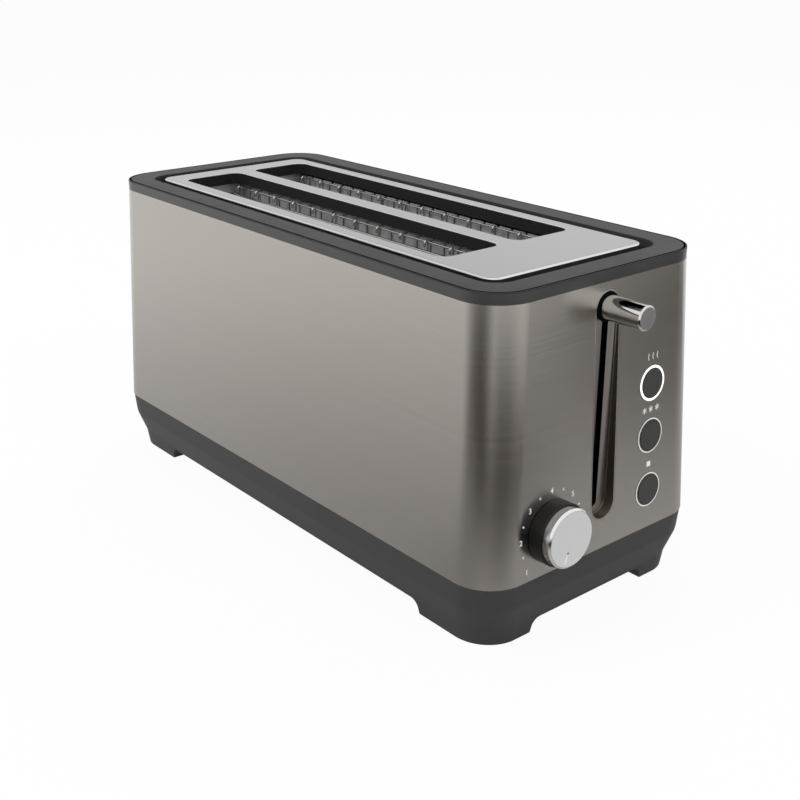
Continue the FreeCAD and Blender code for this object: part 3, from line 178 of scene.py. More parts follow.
def bevelEdges(piece, rule, width, steps):
    selectEdges(piece, rule)
    bpy.ops.mesh.bevel(offset=width, segments=steps, affect="EDGES", profile=0.5, clamp_overlap=True)
    bpy.ops.mesh.select_all(action="SELECT")
    bpy.ops.mesh.remove_doubles(threshold=mergeGap)
    leaveEdit()


def bevelFront(piece, front, width, steps):
    bevelEdges(piece, lambda a, b: min(a.x, b.x) > front - tiny, width, steps)


def applyModifier(piece, kind, **settings):
    makeActive(piece)
    modifier = piece.modifiers.new(kind.title(), kind)
    for key, wanted in settings.items():
        setattr(modifier, key, wanted)
    bpy.ops.object.modifier_apply(modifier=modifier.name)


def combine(piece, other, action="DIFFERENCE"):
    applyModifier(piece, "BOOLEAN", operation=action, solver="EXACT", object=other)
    bpy.data.objects.remove(other)


def joinTo(piece, others):
    makeActive(piece)
    for other in others:
        other.select_set(True)
    bpy.ops.object.join()
    return piece


def softenEdges(piece, width, steps=3, angle=30):
    applyModifier(
        piece, "BEVEL", width=width, segments=steps, limit_method="ANGLE", angle_limit=math.radians(angle),
        use_clamp_overlap=True, miter_outer="MITER_ARC",
    )


def upright(a, b):
    shortest = 0.0005  # shorter edges belong to a round
    length = (a - b).length
    return abs(a.z - b.z) > 0.5 * length and length > shortest


def roundedBox(name, low, high, radius, steps=16):
    piece = addBox(name, low, high)
    bevelEdges(piece, upright, radius, steps)
    return piece


def stadium(name, middle, half, lowZ, highZ, startX, endX):
    piece = addBox(name, (startX, middle - half, lowZ), (endX, middle + half, highZ))

    def runsAlongX(a, b):
        return abs(a.x - b.x) > 0.5 * (a - b).length

    bevelEdges(piece, runsAlongX, half * 0.9999, 20)  # just short of half, so that the sides stay apart
    return piece


def toPanel(piece):
    makeActive(piece)
    piece.matrix_world = panelFrame @ piece.matrix_world
    return freeze(piece)


def fromSpot(point, spot):
    return math.hypot(point.y - spot.y, point.z - spot.z)


def softCopy(node, name, width):
    flatAngle, edgeAngle = 0.6, 40  # degrees: faces flatter than the first are joined
    makeActive(frame["nodes"][node])
    bpy.ops.object.duplicate()
    piece = nameIt(name)
    bpy.ops.object.parent_clear(type="CLEAR_KEEP_TRANSFORM")
    selectFaces(piece, lambda centre, normal: True)
    bpy.ops.mesh.remove_doubles(threshold=mergeGap)
    bpy.ops.mesh.dissolve_limited(angle_limit=math.radians(flatAngle))
    leaveEdit()
    softenEdges(piece, width, 3, edgeAngle)
    return piece


def copyOf(piece, name):
    makeActive(piece)
    bpy.ops.object.duplicate()
    return nameIt(name)


def wirePiece(name, routes, radius):
    deselectAll()
    bpy.ops.curve.primitive_nurbs_path_add()
    wire = nameIt(name)
    wire.data.splines.clear()
    for route in routes:
        line = wire.data.splines.new("POLY")
        line.points.add(len(route) - 1)
        for point, spot in zip(line.points, route):
            point.co = (*spot, 1)
    wire.data.bevel_depth = radius
    wire.data.bevel_resolution = 2
    wire.data.use_fill_caps = True
    makeActive(wire)
    bpy.ops.object.convert(target="MESH")
    return bpy.context.object


def finishPiece(piece, body, slotName, replaced=(), angle=32, weighted=True, own=None):
    freeze(piece)
    bpy.ops.object.shade_smooth_by_angle(angle=math.radians(angle))
    if weighted:
        applyModifier(piece, "WEIGHTED_NORMAL", keep_sharp=True, weight=60)
    piece.data.materials.clear()
    piece.data.materials.append(own or finishes[slotName])
    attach(piece, body)
    if replaced:
        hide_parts(*replaced)


def paintFaces(piece, material, rule):
    piece.data.materials.append(material)
    for face in piece.data.polygons:
        if rule(face.center, face.normal):
            face.material_index = len(piece.data.materials) - 1


# materials


def newMaterial(name):
    material = bpy.data.materials.new(name)
    material.use_nodes = True
    tree = material.node_tree
    return material, tree.nodes, tree.links, tree.nodes["Principled BSDF"]


def even(value):
    return (value, value, value)  # a grey, or a grain alike every way


def feed(links, socket, source):  # from a number or a node's output
    if isinstance(source, (int, float)):
        socket.default_value = source
    else:
        links.new(source, socket)


def mathNode(nodes, links, operation, *sources):
    node = nodes.new("ShaderNodeMath")
    node.operation = operation
    for socket, source in zip(node.inputs, sources):
        feed(links, socket, source)
    return node.outputs[0]


def mixShaders(nodes, links, share, first, second, output):
    mix = nodes.new("ShaderNodeMixShader")
    feed(links, mix.inputs["Fac"], share)
    links.new(first.outputs[0], mix.inputs[1])
    links.new(second.outputs[0], mix.inputs[2])
    links.new(mix.outputs[0], nodes[output].inputs["Surface"])


def noiseField(nodes, links, scale, detail):
    place = nodes.new("ShaderNodeTexCoord")
    mapping = nodes.new("ShaderNodeMapping")
    mapping.inputs["Scale"].default_value = scale
    noise = nodes.new("ShaderNodeTexNoise")
    noise.inputs["Scale"].default_value = 1.0
    noise.inputs["Detail"].default_value = detail
    links.new(place.outputs["Object"], mapping.inputs["Vector"])
    links.new(mapping.outputs["Vector"], noise.inputs["Vector"])
    return noise.outputs["Fac"]


def spread(nodes, links, field, low, high):
    ramp = nodes.new("ShaderNodeMapRange")
    ramp.inputs["From Min"].default_value = 0.3
    ramp.inputs["From Max"].default_value = 0.7
    ramp.inputs["To Min"].default_value = low
    ramp.inputs["To Max"].default_value = high
    links.new(field, ramp.inputs["Value"])
    return ramp.outputs["Result"]


def twoTone(nodes, links, field, colour, change):
    ramp = nodes.new("ShaderNodeValToRGB")
    ramp.color_ramp.elements[0].position = 0.3
    ramp.color_ramp.elements[1].position = 0.7
    ramp.color_ramp.elements[0].color = [c * (1 - change) for c in colour] + [1]
    ramp.color_ramp.elements[1].color = [c * (1 + change) for c in colour] + [1]
    links.new(field, ramp.inputs["Fac"])
    return ramp.outputs["Color"]


def addBump(nodes, links, shader, field, depth):
    bump = nodes.new("ShaderNodeBump")
    bump.inputs["Strength"].default_value = 1.0
    bump.inputs["Distance"].default_value = depth
    links.new(field, bump.inputs["Height"])
    links.new(bump.outputs["Normal"], shader.inputs["Normal"])


def brushedMetal(
    name, colour, roughness, grain, anisotropy=0.0, toneChange=0.05, roughChange=0.06, depth=0.000004
):
    material, nodes, links, shader = newMaterial(name)
    shader.inputs["Metallic"].default_value = 1.0
    shader.inputs["Anisotropic"].default_value = anisotropy
    shader.inputs["Anisotropic Rotation"].default_value = 0.25  # level brush lines spread gloss upright
    streaks = noiseField(nodes, links, grain, 6.0)
    links.new(twoTone(nodes, links, streaks, colour, toneChange), shader.inputs["Base Color"])
    rough = spread(nodes, links, streaks, roughness - roughChange, roughness + roughChange)
    links.new(rough, shader.inputs["Roughness"])
    addBump(nodes, links, shader, streaks, depth)
    return material


def mouldedPlastic(name, colour, roughness, grain=2200.0, depth=0.000012, toneChange=0.06, specular=0.5):
    material, nodes, links, shader = newMaterial(name)
    shader.inputs["Specular IOR Level"].default_value = specular
    fine = noiseField(nodes, links, even(grain), 3.0)
    clouds = noiseField(nodes, links, even(38), 3.0)
    links.new(twoTone(nodes, links, clouds, colour, toneChange), shader.inputs["Base Color"])
    links.new(spread(nodes, links, clouds, roughness - 0.03, roughness + 0.03), shader.inputs["Roughness"])
    addBump(nodes, links, shader, fine, depth)
    return material


def polishedMetal(name, colour, roughness):
    material, nodes, links, shader = newMaterial(name)
    shader.inputs["Metallic"].default_value = 1.0
    clouds = noiseField(nodes, links, even(90), 5.0)
    links.new(twoTone(nodes, links, clouds, colour, 0.03), shader.inputs["Base Color"])
    links.new(spread(nodes, links, clouds, roughness * 0.7, roughness * 1.3), shader.inputs["Roughness"])
    return material


def micaSheet(name, colour):
    material, nodes, links, shader = newMaterial(name)
    flakes = noiseField(nodes, links, (160, 160, 90), 8.0)
    links.new(twoTone(nodes, links, flakes, colour, 0.14), shader.inputs["Base Color"])
    links.new(spread(nodes, links, flakes, 0.4, 0.6), shader.inputs["Roughness"])
    addBump(nodes, links, shader, flakes, 0.00003)
    return material


# the liner is painted darker in the gap round the plate: painted shade
def linerPlastic(name, colour, gapShade, margin):
    material, nodes, links, shader = newMaterial(name)
    low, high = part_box("top_plate")
    place = nodes.new("ShaderNodeTexCoord")
    parts = nodes.new("ShaderNodeSeparateXYZ")
    links.new(place.outputs["Object"], parts.inputs["Vector"])
    within = []
    for index, letter in enumerate("XY"):  # 1 under the plate, 0 in the gap between it and the collar, where the liner is painted darker as shade
        middle, half = (low[index] + high[index]) / 2, (high[index] - low[index]) / 2
        within.append(mathNode(nodes, links, "COMPARE", parts.outputs[letter], middle, half - margin))
    mix = nodes.new("ShaderNodeMix")
    mix.data_type = "RGBA"
    links.new(mathNode(nodes, links, "MINIMUM", *within), mix.inputs["Factor"])
    fine = noiseField(nodes, links, even(2200), 3.0)
    links.new(twoTone(nodes, links, fine, gapShade, 0.06), mix.inputs["A"])
    links.new(twoTone(nodes, links, fine, colour, 0.06), mix.inputs["B"])
    links.new(mix.outputs["Result"], shader.inputs["Base Color"])
    shader.inputs["Specular IOR Level"].default_value = 0.2
    shader.inputs["Roughness"].default_value = 0.5
    addBump(nodes, links, shader, fine, 0.000004)
    return material


def litRing(name, colour, glow):
    material, nodes, links, shader = newMaterial(name)
    haze = noiseField(nodes, links, even(300), 2.0)
    links.new(twoTone(nodes, links, haze, colour, 0.02), shader.inputs["Base Color"])
    shader.inputs["Roughness"].default_value = 0.35
    shader.inputs["Emission Color"].default_value = (1.0, 0.98, 0.94, 1)
    shader.inputs["Emission Strength"].default_value = glow
    return material


levelBrush = (3, 3, 1300)
lengthBrush = (3, 1300, 3)


def makeFinishes():
    return {
        "shell_steel": brushedMetal(
            "shellSteel", (0.458, 0.428, 0.395), 0.26, levelBrush, 0.6,
            toneChange=0.015, roughChange=0.012, depth=0.0000004,
        ),
        "collar_plastic": mouldedPlastic("collarPlastic", (0.036, 0.036, 0.0365), 0.45, specular=0.12),
        "plate_steel": brushedMetal(
            "plateSteel", even(0.40), 0.26, lengthBrush, toneChange=0.012, roughChange=0.012, depth=0.0000004
        ),
        "liner_black": linerPlastic("linerBlack", even(0.016), even(0.002), 0.0015),
        "base_plastic": mouldedPlastic("basePlastic", (0.052, 0.052, 0.0525), 0.45, specular=0.2),
        "pad_rubber": mouldedPlastic("padRubber", even(0.02), 0.8, depth=0.00004),
        "screw_steel": brushedMetal("screwSteel", even(0.5), 0.3, even(700)),
        "chassis_steel": brushedMetal("chassisSteel", even(0.68), 0.45, even(60), toneChange=0.08),
        "reflector_steel": brushedMetal("reflectorSteel", even(0.55), 0.25, (40, 40, 900)),
        "rod_steel": polishedMetal("rodSteel", (0.7, 0.7, 0.71), 0.15),
        "mica": micaSheet("micaSheet", (0.37, 0.367, 0.36)),
        "heater_wire": brushedMetal("heaterWire", (0.30, 0.29, 0.28), 0.6, even(900), toneChange=0.2),
        "guard_wire": brushedMetal("guardWire", even(0.60), 0.3, even(800)),
        "carriage_steel": brushedMetal("carriageSteel", (0.5, 0.5, 0.51), 0.35, even(80), toneChange=0.1),
        "bush_plastic": mouldedPlastic("bushPlastic", (0.72, 0.71, 0.66), 0.3),
        "spring_steel": polishedMetal("springSteel", even(0.4), 0.25),
        "lever_chrome": polishedMetal("leverChrome", (0.66, 0.65, 0.63), 0.06),
        "magnet_iron": brushedMetal("magnetIron", (0.25, 0.25, 0.26), 0.5, (1400, 20, 20), toneChange=0.25),
        "coil_copper": brushedMetal("coilCopper", (0.62, 0.3, 0.14), 0.3, (30, 30, 2600), toneChange=0.4),
        "knob_black": mouldedPlastic("knobBlack", even(0.008), 0.35, depth=0.000004, specular=0.3),
        "cap_aluminium": brushedMetal("capAluminium", even(0.80), 0.14, (1500, 20, 20), toneChange=0.03),
        "electric_black": mouldedPlastic("electricBlack", even(0.025), 0.5),
        "circuit_green": mouldedPlastic(
            "circuitGreen", (0.006, 0.022, 0.012), 0.4, grain=500.0, toneChange=0.3
        ),
        "ring_white": litRing("ringWhite", (0.85, 0.85, 0.83), 0.0),
        "button_grey": mouldedPlastic("buttonGrey", (0.040, 0.041, 0.039), 0.5),
        "tray_steel": brushedMetal("traySteel", even(0.5), 0.35, (8, 900, 8)),
        "terminal_white": mouldedPlastic("terminalWhite", (0.66, 0.66, 0.62), 0.4),
    }


finishes = makeFinishes()

# finishes of single faces and marks

litWhite = litRing("litWhite", (0.9, 0.9, 0.88), 0.8)
# the white of the rings that are not lit still glows a little: painted light
dimWhite = litRing("dimWhite", (0.75, 0.75, 0.72), 0.2)
# the white print, made to glow a little: painted light
printWhite = litRing("printWhite", (0.80, 0.80, 0.78), 0.15)
# the pointer's white, like print, made to glow: a painted highlight
pointerWhite = litRing("pointerWhite", (0.85, 0.85, 0.83), 0.35)
pointerDark = mouldedPlastic("pointerDark", even(0.12), 0.5, depth=0.000002)
# the knob's satin face; the same material is a painted highlight on the plate's rounded edges
satinFace = brushedMetal("satinFace", even(0.80), 0.5, (20, 1800, 20), toneChange=0.02, depth=0.000001)
satinFace.node_tree.nodes["Principled BSDF"].inputs["Metallic"].default_value = 0.4  # a fine blasted face
leverFace = brushedMetal(
    "leverFace", (0.42, 0.415, 0.41), 0.42, (20, 1500, 20), toneChange=0.02, depth=0.000001
)
# a darker copy of the cap's aluminium for its side: painted shade
capSide = brushedMetal("capSide", (0.50, 0.50, 0.51), 0.12, (1500, 20, 20), toneChange=0.03, depth=0.000001)
channelBrush = {"anisotropy": 0.3, "toneChange": 0.02, "roughChange": 0.02, "depth": 0.000001}
channelSteel = brushedMetal("channelSteel", (0.40, 0.37, 0.34), 0.3, levelBrush, **channelBrush)
# a darker copy of the channel's steel for its walls: painted shade in the recess
channelWall = brushedMetal("channelWall", (0.21, 0.18, 0.155), 0.35, levelBrush, **channelBrush)
# a lighter, polished copy of the plate's steel for its rim facing +X: painted highlight
plateRim = polishedMetal("plateRim", even(0.75), 0.08)
# a lighter, glossier copy of the collar's plastic for its side band: painted sheen
collarSide = mouldedPlastic("collarSide", (0.042, 0.042, 0.0425), 0.35, specular=0.5)
# near black for painted shade, in the collar's groove and round the lever's root
deepBlack = mouldedPlastic("deepBlack", even(0.003), 0.8, specular=0.05)


def dressNodes():
    for row in frame["record"]["subparts"]:
        node = frame["nodes"][row["node"]]
        node.material_slots[0].material = finishes[row["material_slot"]]


dressNodes()
print("materials made", len(finishes))

# steel body

leverChannel = {
    "half": 0.0087,  # of the wide part
    "innerHalf": 0.0077,
    "wall": 0.0008,
    "flange": 0.006,
    "ledgeX": 0.0008,  # in front of the floor
    "slitHalf": 0.0024,
    "slitLow": 0.0045,
    "slitHigh": 0.0035,
    "slitBehind": 0.005,  # how far its cutter runs behind the channel
    "slitAhead": 0.001,  # and in front of the floor
    "rimProud": 0.00003,
    "rimBand": 0.00005,  # depth of the rim that has the panel's finish
    "edge": 0.00022,
}


def makeShell():
    steel = steelBody
    channel = leverChannel
    piece = addBox("steelShell", shellLow, shellHigh)
    half = (shellHigh - shellLow) / 2
    selectFaces(piece, lambda centre, normal: normal.z > 0.9)
    bpy.ops.transform.resize(
        value=(1 - steel["endFlare"] / half.x, 1 - steel["sideFlare"] / half.y, 1),
        center_override=(bodyX, 0, shellHigh.z),
    )
    leaveEdit()
    bevelEdges(piece, upright, steel["cornerRadius"], steel["cornerSteps"])
    selectFaces(piece, lambda centre, normal: abs(normal.z) > 0.9)
    bpy.ops.mesh.delete(type="FACE")
    leaveEdit()
    applyModifier(piece, "SOLIDIFY", thickness=steel["wall"], offset=-1)
    low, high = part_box("lever_channel")
    gap = steel["holeGap"]
    middle = (low.y + high.y) / 2
    bottom = low.z + channel["flange"] - channel["wall"]
    halfWidth = channel["half"] + channel["wall"]
    combine(piece, stadium(
        "channelHole", middle, halfWidth + gap, bottom - gap, high.z + gap, low.x, high.x + over
    ))
    holes = [(panelSpot(f"{name}_light_ring"), steel["buttonHole"]) for name in buttonNames]
    holes.append((panelSpot("knob_cap"), steel["spindleHole"]))
    for spot, radius in holes:
        combine(piece, toPanel(roundAt(spot, "panelHole", radius, -behind, over)))
    finishPiece(piece, "frame", "shell_steel", ["steel_shell"], weighted=False)


def makeChannel():
    channel = leverChannel
    low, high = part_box("lever_channel")
    middle = (low.y + high.y) / 2
    wall = channel["wall"]
    bottom = low.z + channel["flange"] - wall
    floorX = low.x + wall
    farX = high.x + over
    piece = stadium("leverChannel", middle, channel["half"] + wall, bottom, high.z, low.x, farX)
    lowZ, highZ = bottom + wall, high.z - wall
    step = channel["half"] - channel["innerHalf"]
    cuts = (
        ("channelWide", channel["half"], lowZ, highZ, floorX + channel["ledgeX"], farX + over),
        ("channelNarrow", channel["innerHalf"], lowZ + step, highZ - step, floorX, farX + over),
        (
            "channelSlit", channel["slitHalf"], lowZ + channel["slitLow"], highZ - channel["slitHigh"],
            low.x - channel["slitBehind"], floorX + channel["slitAhead"],
        ),
    )
    for name, half, startZ, endZ, startX, endX in cuts:
        combine(piece, stadium(name, middle, half, startZ, endZ, startX, endX))
    selectFaces(piece, lambda centre, normal: True)
    bpy.ops.mesh.bisect(
        plane_co=panelFrame @ Vector((channel["rimProud"], 0, 0)),
        plane_no=panelFrame.to_3x3() @ Vector((1, 0, 0)), use_fill=True, clear_outer=True,
    )
    leaveEdit()
    softenEdges(piece, channel["edge"], 2, 50)
    finishPiece(piece, "frame", "shell_steel", ["lever_channel"], weighted=False, own=channelSteel)
    # the channel's walls are painted darker: painted shade in the recess
    paintFaces(piece, channelWall, lambda centre, normal: normal.x < 0.5)
    toRim = panelFrame.inverted()
    band = channel["rimBand"]
    paintFaces(piece, finishes["shell_steel"], lambda centre, normal: (toRim @ centre).x > -band)


def makeCollar():
    collar = {
        "edgeRound": 0.0005, "innerRound": 0.0004, "cornerInset": 0.00015,
        "grooveIn": 0.0002, "grooveSlope": 0.0001, "grooveWidth": 0.0011, "grooveDepth": 0.0016,
        "shadeFrom": 0.45, "shadeTo": 1.05,  # shares of the groove's depth
        "openingRadius": 0.013, "openingMargin": 0.006,  # inside the slot frame's edge
        "sideTop": 0.002,  # the side's painted sheen ends this far below the top
    }
    low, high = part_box("top_collar")
    radius = steelBody["cornerRadius"] - collar["cornerInset"]
    piece = roundedBox("topCollar", (low.x, low.y, shellHigh.z), high, radius, steelBody["cornerSteps"])
    bevelEdges(piece, lambda a, b: min(a.z, b.z) > high.z - slack, collar["edgeRound"], 4)
    depth = collar["grooveDepth"]
    selectFaces(piece, lambda centre, normal: normal.z > 0.99 and centre.z > high.z - slack)
    bpy.ops.mesh.inset(thickness=collar["grooveIn"])
    bpy.ops.mesh.inset(thickness=collar["grooveSlope"])
    bpy.ops.transform.translate(value=(0, 0, -depth))
    bpy.ops.mesh.inset(thickness=collar["grooveWidth"])
    bpy.ops.mesh.inset(thickness=collar["grooveSlope"])
    bpy.ops.transform.translate(value=(0, 0, depth))
    leaveEdit()
    frameLow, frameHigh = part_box("slot_frame")
    margin = collar["openingMargin"]
    lowX, lowY = frameLow.x + margin, frameLow.y + margin
    highX, highY = frameHigh.x - margin, frameHigh.y - margin
    opening = roundedBox(
        "collarOpening", (lowX, lowY, low.z - over), (highX, highY, high.z + over), collar["openingRadius"]
    )
    combine(piece, opening)

    def onOpening(point):
        inX = lowX - slack < point.x < highX + slack
        inY = lowY - slack < point.y < highY + slack
        return inX and inY and point.z > high.z - slack

    bevelEdges(piece, lambda a, b: onOpening(a) and onOpening(b), collar["innerRound"], 3)
    finishPiece(piece, "frame", "collar_plastic", ["top_collar"])
    sideTop = high.z - collar["sideTop"]
    # the collar's side band gets the lighter, glossier copy: painted sheen
    paintFaces(piece, collarSide, lambda centre, normal: centre.z < sideTop and abs(normal.z) < 0.5)
    # the groove's inner sides are painted near black: painted shade in the groove
    shadeLow, shadeHigh = high.z - depth * collar["shadeTo"], high.z - depth * collar["shadeFrom"]
    paintFaces(piece, deepBlack, lambda centre, normal: shadeLow < centre.z < shadeHigh)


def makePlate():
    plate = {
        "cornerRadius": 0.0075, "thickness": 0.001, "rim": 0.00095, "edge": 0.0003,
        "slotRadius": 0.007, "slotLength": 0.263, "slotWidth": 0.0425,
        "bridge": 0.0117, "frontMargin": 0.0465,
        "highlightFrom": 0.01,  # the rim's painted highlight starts this far in front of the slots
    }
    low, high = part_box("top_plate")
    piece = roundedBox("topPlate", low, high, plate["cornerRadius"], 20)
    bevelEdges(piece, lambda a, b: min(a.z, b.z) > high.z - slack, plate["rim"], 5)
    wall = plate["thickness"]
    hollowLow = (low.x + wall, low.y + wall, low.z - over)
    hollowHigh = (high.x - wall, high.y - wall, high.z - wall)
    combine(piece, roundedBox("plateHollow", hollowLow, hollowHigh, plate["cornerRadius"] - wall, 20))
    slotEnd = high.x - plate["frontMargin"]
    slotStart = slotEnd - plate["slotLength"]
    for side in (-1, 1):
        near, far = plate["bridge"] / 2, plate["bridge"] / 2 + plate["slotWidth"]
        y0, y1 = sorted((side * near, side * far))
        slotLow, slotHigh = (slotStart, y0, low.z - over), (slotEnd, y1, high.z + over)
        combine(piece, roundedBox("slotCut", slotLow, slotHigh, plate["slotRadius"]))
    softenEdges(piece, plate["edge"], 3, 50)
    finishPiece(piece, "frame", "plate_steel", ["top_plate"])
    # the plate's rounded edges get the light satin finish: a painted highlight along them
    paintFaces(piece, satinFace, lambda centre, normal: 0.05 < normal.z < 0.98)
    # the rim facing +X gets the lighter polished copy: painted highlight
    highlightX = slotEnd + plate["highlightFrom"]
    paintFaces(piece, plateRim, lambda centre, normal: normal.x > 0.15 and centre.x > highlightX)


# base moulding, its x lengths from the middle of the body

baseMoulding = {
    "levels": ((0.0391, 0.0003), (0.0251, 0.0013), (0.0111, 0.0056), (0.001, 0.0068)),  # height, drawn in by
    "cornerRadius": 0.024,
    "ringRound": 0.0016,
    "wall": 0.0025,
    "underside": 0.0092,
    "floor": 0.0117,
    "hollowTop": 0.0393,
    "archHalfLength": 0.135,
    "archHalfWidth": 0.046,
    "archReach": (0.3, 0.2),  # how far its cutters run to the ends and to the sides
    "archDraft": 0.0025,
    "archRound": 0.0045,
    "below": -0.002,  # where cutters from below start
    "outside": 0.2,  # where cutters from the rear start
    "boss": {"x": 0.100, "y": 0.060, "radius": 0.005, "top": 0.0405},
    "pocket": {"radius": 0.0034, "low": 0.005, "seat": 0.0136},  # for a screw's head, in the boss
    "pad": {"x": 0.158, "y": 0.061, "radius": 0.0082, "top": 0.003},
    "rib": {"half": 0.0503, "width": 0.0016, "top": 0.0167, "rear": 0.179, "front": 0.114},
    "notch": {"half": 0.0524, "low": 0.005, "top": 0.022, "inside": 0.181},
    "gland": {
        "y": 0.052, "z": 0.031, "bore": 0.00565, "boreEnd": 0.18, "recess": 0.00815, "recessEnd": 0.1899,
    },
    "edge": 0.0005,
}


def steppedBlock(name, levels, halfX, halfY, radius, ringRound=0):
    topZ, topInset = levels[0]
    low = (bodyX - halfX + topInset, -halfY + topInset, levels[-1][0])
    high = (bodyX + halfX - topInset, halfY - topInset, topZ)
    piece = roundedBox(name, low, high, radius - topInset, 20)
    rings = [height for height, inset in levels[1:-1]]
    for height in rings:
        selectFaces(piece, lambda centre, normal: True)
        bpy.ops.mesh.bisect(plane_co=(0, 0, height), plane_no=(0, 0, 1))
        leaveEdit()
    for height, inset in levels[1:]:
        selectPoints(piece, lambda point: abs(point.z - height) < tiny)
        bpy.ops.transform.resize(
            value=((halfX - inset) / (halfX - topInset), (halfY - inset) / (halfY - topInset), 1),
            center_override=(bodyX, 0, height),
        )
        leaveEdit()

    def onRing(a, b):
        return any(abs(a.z - z) < tiny and abs(b.z - z) < tiny for z in rings)

    if ringRound:
        bevelEdges(piece, onRing, ringRound, 4)
    return piece


def archCutter(base, alongX):
    half = base["archHalfLength"] if alongX else base["archHalfWidth"]
    reachX, reachY = base["archReach"]
    top, below = base["underside"], base["below"]
    if alongX:
        low, high = (bodyX - half, -reachY, below), (bodyX + half, reachY, top)
    else:
        low, high = (bodyX - reachX, -half, below), (bodyX + reachX, half, top)
    cutter = addBox("archCut", low, high)
    narrowed = (half - base["archDraft"]) / half
    selectFaces(cutter, lambda centre, normal: normal.z > 0.9)
    bpy.ops.transform.resize(
        value=(narrowed, 1, 1) if alongX else (1, narrowed, 1), center_override=(bodyX, 0, top)
    )
    leaveEdit()

    def topSide(a, b):
        across = abs(a.x - b.x) if alongX else abs(a.y - b.y)
        return min(a.z, b.z) > top - tiny and across < tiny

    bevelEdges(cutter, topSide, base["archRound"], 8)
    return cutter


def cornerSpots(x, y):
    return [(bodyX + along * x, across * y) for along in (-1, 1) for across in (-1, 1)]


def addBossesAndRibs(piece, base):
    boss, rib, underside = base["boss"], base["rib"], base["underside"]
    for x, y in cornerSpots(boss["x"], boss["y"]):
        post = addRound("boss", boss["radius"], (x, y, underside), (x, y, boss["top"]), "Z", 48)
        combine(piece, post, "UNION")
    for across in (-1, 1):
        y0, y1 = sorted((across * rib["half"], across * (rib["half"] + rib["width"])))
        low, high = (bodyX - rib["rear"], y0, underside), (bodyX + rib["front"], y1, rib["top"])
        combine(piece, addBox("guideRib", low, high), "UNION")


def cutPockets(piece, base):
    boss, pocket, pad, notch, gland = (base[name] for name in ("boss", "pocket", "pad", "notch", "gland"))
    heads = cornerSpots(boss["x"], boss["y"])
    pads = cornerSpots(pad["x"], pad["y"])
    for (x, y), (padX, padY) in zip(heads, pads):
        combine(piece, addRound(
            "headPocket", pocket["radius"], (x, y, pocket["low"]), (x, y, pocket["seat"]), "Z", 48
        ))
        combine(piece, addRound(
            "padPocket", pad["radius"], (padX, padY, base["below"]), (padX, padY, pad["top"]), "Z", 64
        ))
    startX = bodyX - base["outside"]
    notchHigh = (bodyX - notch["inside"], notch["half"], notch["top"])
    combine(piece, addBox("trayNotch", (startX, -notch["half"], notch["low"]), notchHigh))
    y, z = gland["y"], gland["z"]
    for radius, end in ((gland["bore"], gland["boreEnd"]), (gland["recess"], gland["recessEnd"])):
        combine(piece, addRound("glandCut", radius, (startX, y, z), (bodyX - end, y, z), "X", 64))


def makeBase():
    base = baseMoulding
    halfX, halfY = (shellHigh.x - shellLow.x) / 2, (shellHigh.y - shellLow.y) / 2
    radius = base["cornerRadius"]
    piece = steppedBlock("baseMoulding", base["levels"], halfX, halfY, radius, base["ringRound"])
    combine(piece, archCutter(base, True))
    combine(piece, archCutter(base, False))
    heights = (base["hollowTop"], base["levels"][1][0], base["floor"])
    levels = [(height, outer[1] + base["wall"]) for height, outer in zip(heights, base["levels"])]
    combine(piece, steppedBlock("baseHollow", levels, halfX, halfY, radius))
    addBossesAndRibs(piece, base)
    cutPockets(piece, base)
    softenEdges(piece, base["edge"], 3, 35)
    finishPiece(piece, "frame", "base_plastic", ["base_moulding"], 34)


# rear pieces, heaters and bread guards


def makeRearPieces():
    rear = {"gripEdge": 0.0006, "glandEdge": 0.0005}
    grip = softCopy("tray_grip", "trayGrip", rear["gripEdge"])
    finishPiece(grip, "crumb_tray", "base_plastic", ["tray_grip"])
    gland = softCopy("cord_gland", "cordGland", rear["glandEdge"])
    finishPiece(gland, "frame", "electric_black", ["cord_gland"])


def heaterRoute(heater, low, high, turns):
    first = low.x + heater["margin"]
    off = high.y + heater["gap"] + heater["wire"]
    half = heater["pitch"] / 2
    bend, sunk = heater["bend"], heater["sunk"]
    under = low.z - heater["wire"]
    route = []
    for turn in range(turns):
        x = first + turn * heater["pitch"]
        route += [(x, -off, low.z + bend), (x, -off, high.z - bend)]
        route += [(x + half / 2, -off, high.z - sunk), (x + half / 2, off, high.z - sunk)]
        route += [(x + half, off, high.z - bend), (x + half, off, low.z + bend)]
        if turn < turns - 1:
            route += [(x + half * 1.5, off, under), (x + half * 1.5, -off, under)]
    return route


def makeHeaters():
    heater = {
        "top": 0.1845, "pitch": 0.012, "margin": 0.011, "wire": 0.00032, "gap": 0.0001, "bend": 0.0016,
        "sunk": 0.0003, "notch": 0.0011, "notchReach": 0.002, "edge": 0.0001,
    }
    low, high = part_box("heater_board_centre")
    high.z = heater["top"]
    turns = int((high.x - low.x - 2 * heater["margin"]) / heater["pitch"])
    board = addBox("heaterBoardCentre", low, high)
    notchX = low.x + heater["margin"] + heater["pitch"] / 4
    reach = heater["notchReach"]
    for edgeZ in (low.z, high.z):
        start, end = (notchX, -reach, edgeZ), (notchX, reach, edgeZ)
        notches = addRound("notches", heater["notch"], start, end, "Y", 16)
        applyModifier(
            notches, "ARRAY", count=turns, use_relative_offset=False, use_constant_offset=True,
            constant_offset_displace=(heater["pitch"], 0, 0),
        )
        combine(board, notches)
    softenEdges(board, heater["edge"], 1, 50)
    winding = wirePiece("heaterWindingCentre", [heaterRoute(heater, low, high, turns)], heater["wire"])
    kinds = ((board, "heater_board", "mica"), (winding, "heater_winding", "heater_wire"))
    for side in ("left", "right", "centre"):
        sideLow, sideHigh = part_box(f"heater_board_{side}")
        shift = (sideLow.y + sideHigh.y) / 2
        for piece, node, slotName in kinds:
            if side == "centre":
                made = piece
            else:
                made = copyOf(piece, piece.name.replace("Centre", side.title()))
                made.location.y = shift
            finishPiece(made, "frame", slotName, [f"{node}_{side}"], 50, weighted=False)


